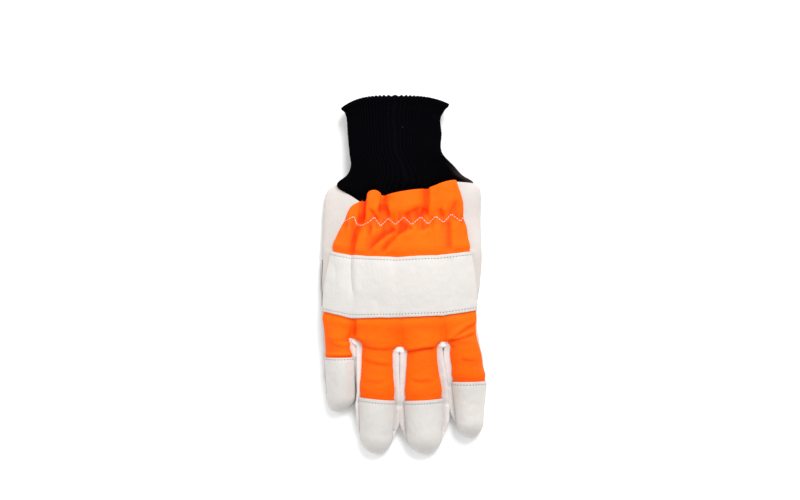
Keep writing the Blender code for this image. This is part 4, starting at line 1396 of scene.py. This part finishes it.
def add_back(materials, thread):
    """The fabric back, with the band and the four fingertip caps sewn over it."""
    form = back_form()
    cells = glove_cells(BACK_CELLS + 1)
    normals = grid_normals(form, cells)
    top, end, start = (LINES.of[line] for line in (BAND_TOP, BAND_END, CAP_START))
    inset = SEAM_INSET / STEP
    band_relief = fold_relief(form, BAND_FOLDS) + hide_relief(form, BAND_HIDE)
    cap_relief = hide_relief(form, CAP_HIDE)
    relief, folds = fabric_relief(form, cells)
    for first, last, above in ((top, end, band_relief), (start, LINES.count, cap_relief)):
        pressed = in_rows(first, last, PRESS_ROWS)[:, None]
        relief = relief * (1 - pressed) + above * pressed

    cloth_cells = np.concatenate([np.ones((HEM_LIP_LINES, cells.shape[1]), bool), cells])
    cloth_cells[HEM_LIP_LINES + LINES.of[CAP_OVERLAP]:] = False
    # The folds' depth goes to the cloth as its painted shade
    cloth, shade = add_hem_lip(form + relief[..., None] * normals, normals, -folds / MM)
    back = add_sheet("back_fabric_cloth", cloth, cloth_cells, 0.0, -FABRIC_WALL,
                     materials["fabric"], shade)
    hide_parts("back_fabric")

    band_cells = np.zeros_like(cells)
    band_cells[top:end] = True
    wavy = form.copy()
    for line, way in ((top, 1), (end, -1)):
        share = 1 - ramp(way * (LINES.rows - line), 0, BAND_EDGE_ROWS)
        wavy[..., 1] += waves(form, BAND_EDGE_WAVES) * share[:, None]
    leather = sewn_leather(wavy, normals, band_relief, (top + inset, end - inset), BAND_WALL,
                           slice(1, -1), thread)
    band = add_sheet("knuckle_band_leather", leather, band_cells, CLEARANCE + BAND_WALL, CLEARANCE,
                     materials["band_grain_leather"], edge_shade(band_cells))
    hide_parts("knuckle_band")
    made = [back, band]

    for k, finger in enumerate(FINGERS):
        own = np.zeros_like(cells)
        columns = back_columns(k)
        own[start:, columns.start:columns.stop - 1] = True
        leather = sewn_leather(form, normals, cap_relief, (start + inset,), CAP_WALL,
                               slice(columns.start + 1, columns.stop - 1), thread)
        cap = add_sheet(f"cap_{finger.name}_leather", leather, own, CLEARANCE + CAP_WALL, CLEARANCE,
                        materials["grain_leather"], edge_shade(own))
        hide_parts(f"fingertip_cap_{finger.name}")
        made.append(cap)

    white = Stitches(ZIGZAG_THREAD)
    tree = surface_tree(back)
    for leg in np.linspace(ZIGZAG[:-1], ZIGZAG[1:], LEG_POINTS, axis=1):
        white.sew(*dropped(leg, tree), share=ZIGZAG_SHARE)
    made.append(white.make("zigzag_stitches", materials["white_thread"]))
    return form, normals, made


def round_hole(palm, rows, columns):
    """Draws the thumb's hole in from a rectangle to a round, and what is near it with it."""
    hole = palm[rows, columns]
    middle = (hole[0, 0] + hole[-1, -1] + hole[0, -1] + hole[-1, 0])[:2] / 4
    half = np.array([np.ptp(hole[..., 0]), np.ptp(hole[..., 1])]) / 2
    u, v = (palm[..., 0] - middle[0]) / half[0], (palm[..., 1] - middle[1]) / half[1]
    out = np.maximum(np.maximum(np.abs(u), np.abs(v)), TINY)
    a, b = u / out, v / out
    fade = np.clip(out, 0, 1) * (1 - ramp(out, *HOLE_REACH))
    fade[:, :SIDE_CELLS] = fade[:, -SIDE_CELLS:] = 0.0
    palm[..., 0] += fade * half[0] * a * (np.sqrt(1 - b**2 / 2) - 1)
    palm[..., 1] += fade * half[1] * b * (np.sqrt(1 - a**2 / 2) - 1)


def border(points, rows, columns):
    """The closed loop of points round a block of a grid."""
    block = points[rows, columns]
    return np.concatenate([block[0, :-1], block[:-1, -1], block[-1, :0:-1], block[:0:-1, 0]])


def wider(part, by):
    return slice(part.start - by, part.stop + by)


def wall_normals(palm, cells):
    """Which way the palm leather's wall is thick: up, and inwards round the fingertips' rims."""
    normals = grid_normals(palm, cells)
    out, way = tip_shape(PALM_CELLS)
    near = ramp(LINES.rows, TIP_LINE - RIM_LINES, TIP_LINE)[:, None, None]
    steep = ramp(out, RIM_PLACE - 2 * RIM_SPREAD, RIM_PLACE)[..., None]
    inward = unit(np.concatenate([-way * steep, 1 - steep], axis=2))
    for k in range(len(FINGERS)):
        columns = palm_columns(k)
        normals[:, columns] = unit(normals[:, columns] * (1 - near) + inward * near)
    for columns, side in ((slice(0, SIDE_CELLS), 1.0), (slice(-SIDE_CELLS, None), -1.0)):
        normals[:, columns] = unit(normals[:, columns] * (1 - near) + near * (side, 0.0, 0.0))
    return normals


def palm_relief(palm, cells):
    """Creases and dents of the palm leather, and the valleys of the seams sewn through it."""
    relief = fold_relief(palm, PALM_FOLDS) + hide_relief(palm, PALM_HIDE)
    columns = np.arange(palm.shape[1])
    from_edge = ramp(np.minimum(columns, columns[::-1]), 0, SIDE_CELLS // 2)
    relief = blurred(relief * from_edge, cells, 1)
    return palm - relief[..., None] * wall_normals(palm, cells)


def sew_patch(thread, outer, ups, rows, columns):
    """Two rows of stitches along the patch's long edges, and one down each of its ends."""
    for inset in PATCH_SEAMS:
        for row in (rows.start + inset / STEP, rows.stop - inset / STEP):
            thread.sew(*grid_path(outer, ups, row, slice(columns.start + 1, columns.stop - 1)))
    inner = slice(rows.start + PATCH_INSET, rows.stop - PATCH_INSET)
    for column in (columns.start + 1, columns.stop - PATCH_INSET):
        thread.sew(outer[inner, column], ups[inner, column])


def add_palm(form, normals, materials, thread):
    """The palm leather that wraps up both sides, its patch, and the seam round the thumb's hole."""
    tops = seam_tops(form, normals)
    palm = palm_form(tops)
    banded = in_rows(LINES.of[BAND_TOP] + 1, LINES.of[BAND_END] - 1, PRESS_ROWS)
    lift = SEAM_LIFT + (BAND_LIFT - SEAM_LIFT) * banded
    for column, share in SEAM_COLUMNS:
        palm[:, column, 0] += SEAM_TUCK * (1 - banded) * share
        palm[:, column, 2] += lift * abs(share)
    cells = glove_cells(PALM_CELLS + 1, SIDE_CELLS)
    index = palm_columns(INDEX_FINGER)
    rows = slice(LINES.of[THUMB_HOLE_TOP], LINES.of[THUMB_HOLE_END] + 1)
    round_hole(palm, rows, index)
    cells[rows.start:rows.stop - 1, index.start:index.stop - 1] = False
    palm = palm_relief(palm, cells)
    palm[..., 2] = np.maximum(palm[..., 2], FLOOR_GAP)
    patch_cells = np.zeros_like(cells)
    middle_front = palm_columns(MIDDLE_FINGER).start + PALM_CELLS // 2
    patch_rows = slice(LINES.of[PATCH_TOP], LINES.of[PATCH_END])
    patch_columns = slice(SIDE_CELLS // 2, middle_front)
    patch_cells[patch_rows, patch_columns] = True
    patched = blurred(np.minimum(cells_around(patch_cells), 1.0), cells, PATCH_BLURS)
    palm[..., 2] += patched * np.maximum(PATCH_STEP + PATCH_THREADS * THREAD - palm[..., 2], 0)
    # Darker, pinker leather: painted shade and a painted reflection of the orange
    leather = add_sheet("palm_leather_hide", palm, cells, PALM_WALL, 0.0,
                        materials["palm_painted_shade_leather"], PALM_SHADE * edge_shade(cells),
                        wall_normals(palm, cells))
    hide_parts("palm_leather")
    patch = add_sheet("palm_patch_leather", palm, patch_cells, -CLEARANCE, -PATCH_STEP,
                      materials["palm_painted_shade_leather"], edge_shade(patch_cells))
    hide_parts("palm_patch")
    ups = -grid_normals(palm, cells)
    sew_patch(thread, palm + PATCH_STEP * ups, ups, patch_rows, patch_columns)
    ring = [border(field, wider(rows, HOLE_SEAM), wider(index, HOLE_SEAM)) for field in (palm, ups)]
    thread.sew(*ring)
    return palm, cells, tops, border(palm, rows, index), [leather, patch]


def all_cells(points):
    return np.ones((points.shape[0] - 1, points.shape[1] - 1), bool)


def ring_normals(rings):
    """Inward normals of a stack of rings, with each ring's first point again at its end."""
    looped = np.concatenate([rings, rings[:, :1]], axis=1)
    return grid_normals(looped, all_cells(looped))


def rumpled_thumb(outer):
    """The thumb's surface with its dents and creases, which leave its root and the floor alone."""
    relief = hide_relief(outer, THUMB_HIDE) + fold_relief(outer, THUMB_FOLDS)
    rows, end = np.arange(len(outer)), len(outer) - 1
    free = ramp(rows, 0, THUMB_ROOT_ROWS) * (1 - ramp(rows, end - THUMB_TIP_ROWS, end))
    outer = outer - (relief * free[:, None])[..., None] * ring_normals(outer)[:, :-1]
    outer[..., 2] = np.maximum(outer[..., 2], FLOOR_GAP)
    return outer


def add_thumb(palm, loop, materials):
    """The thumb: rings from the hole's edge round to the tip, flat under the palm."""
    around = len(loop)
    lengths = lengths_along(np.concatenate([loop, loop[:1]]))
    middle = lengths[PALM_CELLS // 2] / lengths[-1]
    turns = math.pi / 2 - 2 * math.pi * (lengths[:-1] / lengths[-1] - middle)
    index = palm_columns(INDEX_FINGER)
    end_y = palm[LINES.of[THUMB_HOLE_END], (index.start + index.stop) // 2, 1]
    rings = [loop - np.array((0.0, 0.0, CLEARANCE))]
    for ring in THUMB_RINGS:
        to_far = (1 + np.sin(turns)) / 2
        x = ring.x * HALF_WIDTH + ring.wide * THUMB_WIDTH / 2 * np.cos(turns)
        y = end_y - THUMB_LENGTH * (ring.near + (ring.far - ring.near) * to_far)
        z = THUMB_HEIGHT * (ring.near_z + (ring.far_z - ring.near_z) * to_far)
        rings.append(np.stack([x, y, z], axis=1))
    rings = np.array(rings)
    steps = np.linalg.norm(np.diff(rings, axis=0), axis=2).mean(axis=1)
    places = np.concatenate([[0], np.cumsum(steps)])
    count = int(places[-1] / THUMB_ROW)
    outer = rumpled_thumb(spline(rings, places, np.linspace(0, places[-1], count)))
    normals = ring_normals(outer)
    normals[:, 0] = unit(normals[:, 0] + normals[:, -1])
    inner = outer + THUMB_WALL * normals[:, :-1]
    inner[0, :, 2] = np.minimum(inner[0, :, 2], outer[0, :, 2])
    inner[-1] = outer[-1] + np.array((0.0, THUMB_WALL, 0.0))
    around_place = np.linspace(0, lengths[-1], around, endpoint=False)
    row_place = np.linspace(0, places[-1], count)
    uv = np.stack(np.meshgrid(around_place, row_place), axis=2)
    # Darker, pinker leather: painted shade and a painted reflection of the orange
    thumb = add_tube("thumb_leather", outer, inner, materials["palm_painted_shade_leather"], uv,
                     closed_end=True)
    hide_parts("thumb")
    return [thumb]


def finger_edge(finger_points, column, y):
    """x of a finger's edge at y."""
    line = finger_points[CROTCH_LINE:, column]
    order = np.argsort(line[:, 1])
    return np.interp(y, line[order, 1], line[order, 0])


# The strips between the fingers, in metres, lines and times of softening unless named otherwise
CROTCH_SOFTENING = 4
SEAM_SOFTENING = 4
PUFF_SOFTENING = 3
ALONE_SOFTENING = 30
CROTCH_CALM = 10
CROTCH_PLACES = (2, 7)
CROTCH_PUFF = 0.0050
CROTCH_SWELL = 0.4
STRIP_GAP = -0.0007
STRIP_BULGE = 0.0062
STRIP_SQUARENESS = 0.40
STRIP_LEAST = 0.0008
STRIP_TAPER = 0.022
STRIP_TIP_LINES = 12
STRIP_THIN = 0.0004
STRIP_RISE = 0.0022
STRIP_SHADE = 0.25


def strip_grid(k, back, tops, palm, palm_normals):
    """The strip between fingers k and k + 1: along one, round the crotch and down the other."""
    near, far = back_columns(k), back_columns(k + 1)
    front = palm_columns(k).stop - 1
    down = list(range(TIP_LINE + STRIP_TIP_LINES, CROTCH_LINE - 1, -1))
    places = [(n, near.stop - 1, front) for n in down]
    places += [(CROTCH_LINE, near.stop + i, front + 1 + i) for i in range(WEB_POINTS)]
    places += [(n, far.start, front + 1 + WEB_POINTS) for n in reversed(down)]
    rows, columns, fronts = np.array(places).T
    order = np.arange(len(places))

    edge = back[rows, columns]
    lift = SEAM_LIFT * (1 - ramp(rows, LINES.of[CAP_START], LINES.of[CAP_OVERLAP]))
    top = soft_line(tops[rows, columns, 2] + lift, SEAM_SOFTENING)
    low = (palm + PALM_WALL * palm_normals)[rows, fronts, 2] + CLEARANCE
    along = unit(np.gradient(soft_line(edge[:, :2], CROTCH_SOFTENING), axis=0))
    outward = np.stack([along[:, 1], -along[:, 0]], axis=1)

    # How far the strip bulges: to the next finger's, in a puff at the crotch, and thin at the tips
    gap = finger_edge(back, far.start, edge[:, 1]) - finger_edge(back, near.stop - 1, edge[:, 1])
    alone = edge[:, 1] < max(back[-1, near.stop - 1, 1], back[-1, far.start, 1])
    room = np.clip(gap / 2 - STRIP_GAP, 0.0, STRIP_BULGE)
    bulge = soft_line(np.where(alone, SIDE_BULGE, room), ALONE_SOFTENING)
    at_crotch = 1 - ramp(np.abs(order - len(down) - WEB_POINTS / 2), *CROTCH_PLACES)
    bulge = soft_line(bulge * (1 - at_crotch) + CROTCH_PUFF * at_crotch, PUFF_SOFTENING)
    from_tip = ramp(np.minimum(order, order[::-1]) * STEP, 0, STRIP_TAPER)
    bulge = np.maximum(bulge * from_tip, STRIP_LEAST)

    turn = np.linspace(math.pi, 0.0, STRIP_CELLS + 1)
    wave, swell = np.cos(turn), np.sin(turn).clip(0, 1)
    out = np.sin(turn) ** STRIP_SQUARENESS * (bulge[:, None] + SEAM_TUCK) - SEAM_TUCK
    up = (1 + np.sign(wave) * np.abs(wave) ** STRIP_SQUARENESS) / 2
    grid = np.zeros((len(places), STRIP_CELLS + 1, 3))
    grid[:, :, :2] = edge[:, None, :2] + out[..., None] * outward[:, None]
    grid[:, :, 2] = low[:, None] + np.maximum(top - low, STRIP_THIN)[:, None] * up
    rise = STRIP_RISE * from_tip * (1 + CROTCH_SWELL * at_crotch)
    grid[:, :, 2] += rise[:, None] * np.sqrt(wave.clip(0, 1) * swell)
    calm = (at_crotch[:, None] * np.sin(turn))[..., None]
    return grid + (soft_line(grid, CROTCH_CALM) - grid) * calm


def add_strips(back, tops, palm, palm_cells, materials):
    """The three leather strips between the fingers, with their creases."""
    palm_normals = wall_normals(palm, palm_cells)
    made = []
    for k in range(len(FINGERS) - 1):
        grid = strip_grid(k, back, tops, palm, palm_normals)
        cells = all_cells(grid)
        pair = f"{FINGERS[k].name}_{FINGERS[k + 1].name}"
        crease = hide_relief(grid, STRIP_HIDE, k)
        crease[:, [0, -1]] = 0
        grid = grid + crease[..., None] * grid_normals(grid, cells)
        # Lighter leather: painted light against the shade between the fingers
        strip = add_sheet(f"side_strip_{pair}", grid, cells, 0.0, -SIDE_WALL,
                          materials["strip_painted_light_leather"], STRIP_SHADE * edge_shade(cells))
        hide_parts(f"fourchette_{pair}")
        made.append(strip)
    return made


# The cuff's rim: where it starts to flare and to roll in, as shares of CUFF_LENGTH, how far it
# rolls and waves, in metres, and how it leans. Its sides near the hem get a painted brown sheen.
RIM_START = 0.88
RIM_ROLL_START = 0.945
RIM_ROLL = 0.0012
RIM_SCALLOP = 0.0011
RIM_LEAN = 0.2
WING_SHEEN = 0.55
WING_SIDE = (0.80, 0.97)
WING_END = (0.16, 0.34)


def add_cuff(materials):
    """The rib knit: fine ridges round rings that flatten and flare at the rim."""
    around = RIBS * RIB_POINTS
    angle = -2 * math.pi * np.arange(around) / around
    ridge = RIB_HEIGHT * (0.5 - np.abs(np.sin(math.pi * np.arange(around) / RIB_POINTS)))
    scallop = np.cos(2 * math.pi * np.arange(around) / RIB_POINTS) / 2
    table = np.array(CUFF_RINGS)
    places = table[:, 0] * CUFF_LENGTH
    count = int((places[-1] - places[0]) / KNIT_ROW)
    at = np.linspace(places[0], places[-1], count)
    fine = spline(table, places, at)
    flare = RIM_FLARE * ramp(at, CUFF_LENGTH * RIM_START, CUFF_LENGTH)[:, None]
    at_rim = ramp(at, CUFF_LENGTH * RIM_ROLL_START, places[-1])[:, None]
    flare -= RIM_ROLL * at_rim
    y, left, right, low, high, waist, drop = (fine[:, i, None] for i in range(7))
    left = CUFF_OFFSET + left * CUFF_WIDTH / 2
    right = CUFF_OFFSET + right * CUFF_WIDTH / 2
    low = low * CUFF_HEIGHT + RIB_HEIGHT / 2
    high = high * CUFF_HEIGHT + flare
    half = (right - left) / 2 + flare
    waist = low + waist * (high - low)
    sine, cosine = np.sin(angle)[None], np.cos(angle)[None]
    stacks = []
    for inset, rib in ((0.0, ridge[None]), (KNIT_WALL, 0.0)):
        tall = np.where(sine > 0, high - waist, waist - low) - inset + rib
        x = (left + right) / 2 + (half - inset + rib) * squared(cosine)
        z = np.maximum(waist + tall * squared(sine), FLOOR_GAP)
        out = np.clip((x - (left + right) / 2) / half, -1, 1)
        along = HEM_Y + CUFF_LENGTH * (y - drop * np.abs(out) ** 3 * (1 - RIM_LEAN * out))
        along = along + RIM_SCALLOP * at_rim * scallop[None]
        stacks.append(np.stack([x, along + 0 * x, z], axis=2))
    outer, inner = stacks
    uv = np.stack(np.meshgrid(np.arange(around) / RIB_POINTS, at), axis=2)
    # Painted sheen on the sides near the hem
    painted_sheen = WING_SHEEN * ramp(cosine, *WING_SIDE)
    painted_sheen = painted_sheen * (1 - ramp(at / CUFF_LENGTH, *WING_END))[:, None]
    cuff = add_tube("knit_cuff_ribs", outer, inner, materials["knit"], uv, closed_end=False,
                    shade=painted_sheen)
    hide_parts("knit_cuff")
    return [cuff]


Light = namedtuple("Light", "name place size power")

# The stage: places, sizes and the floor's half width in metres, and power in watts
FLOOR_HALF = 3.0
CAMERA_PLACE = (-0.0024, 0.020, 1.522)
LENS_MM = 85.0
SENSOR_MM = 36.0
SKY_STRENGTH = 0.62
LIGHTS = (
    Light("key", (0.5, 1.2, 1.15), 0.8, 36.0),
    Light("fill", (-1.2, 0.5, 0.9), 0.8, 9.0),
    Light("front", (0.2, -1.3, 1.1), 1.0, 5.5),
)


def add_stage():
    """A pale floor, soft lights and the camera straight above."""
    mesh = bpy.data.meshes.new("floor")
    corners = [(x * FLOOR_HALF, y * FLOOR_HALF, 0) for x, y in ((-1, -1), (1, -1), (1, 1), (-1, 1))]
    mesh.from_pydata(corners, [], [(0, 1, 2, 3)])
    mesh.materials.append(floor_material())
    add_object("floor", mesh)
    camera = bpy.data.cameras.new("camera")
    camera.sensor_width = SENSOR_MM
    camera.lens = LENS_MM
    holder = add_object("camera", camera)
    holder.location = CAMERA_PLACE
    bpy.context.scene.camera = holder
    for light in LIGHTS:
        data = bpy.data.lights.new(light.name, "AREA")
        data.energy = light.power
        data.size = light.size
        lamp = add_object(light.name, data)
        lamp.location = light.place
        lamp.rotation_euler = (-Vector(light.place)).to_track_quat("-Z", "Y").to_euler()
    world = bpy.data.worlds.new("studio")
    world.use_nodes = True
    background = world.node_tree.nodes["Background"]
    background.inputs["Color"].default_value = (1.0, 1.0, 1.0, 1.0)
    background.inputs["Strength"].default_value = SKY_STRENGTH
    bpy.context.scene.world = world
    bpy.context.scene.view_settings.view_transform = "Standard"


def main():
    """Dresses every solid of the frame, and gives each piece its body."""
    add_stage()
    materials = {name: leather_material(name, *colours) for name, colours in LEATHERS.items()}
    materials["fabric"] = fabric_material()
    materials["knit"] = knit_material()
    materials["white_thread"] = thread_material("white_thread", WHITE_THREAD, GREY_THREAD)
    materials["grey_thread"] = thread_material("grey_thread", GREY_THREAD, WEAR_AND_SHADE_GREY)
    thread = Stitches(THREAD)
    form, normals, back_pieces = add_back(materials, thread)
    palm, cells, tops, loop, palm_pieces = add_palm(form, normals, materials, thread)
    pieces = back_pieces + palm_pieces + add_thumb(palm, loop, materials)
    pieces += add_strips(form, tops, palm, cells, materials)
    pieces += add_cuff(materials)
    pieces.append(thread.make("leather_seam_stitches", materials["grey_thread"]))
    for piece in pieces:
        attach(piece, body)


main()
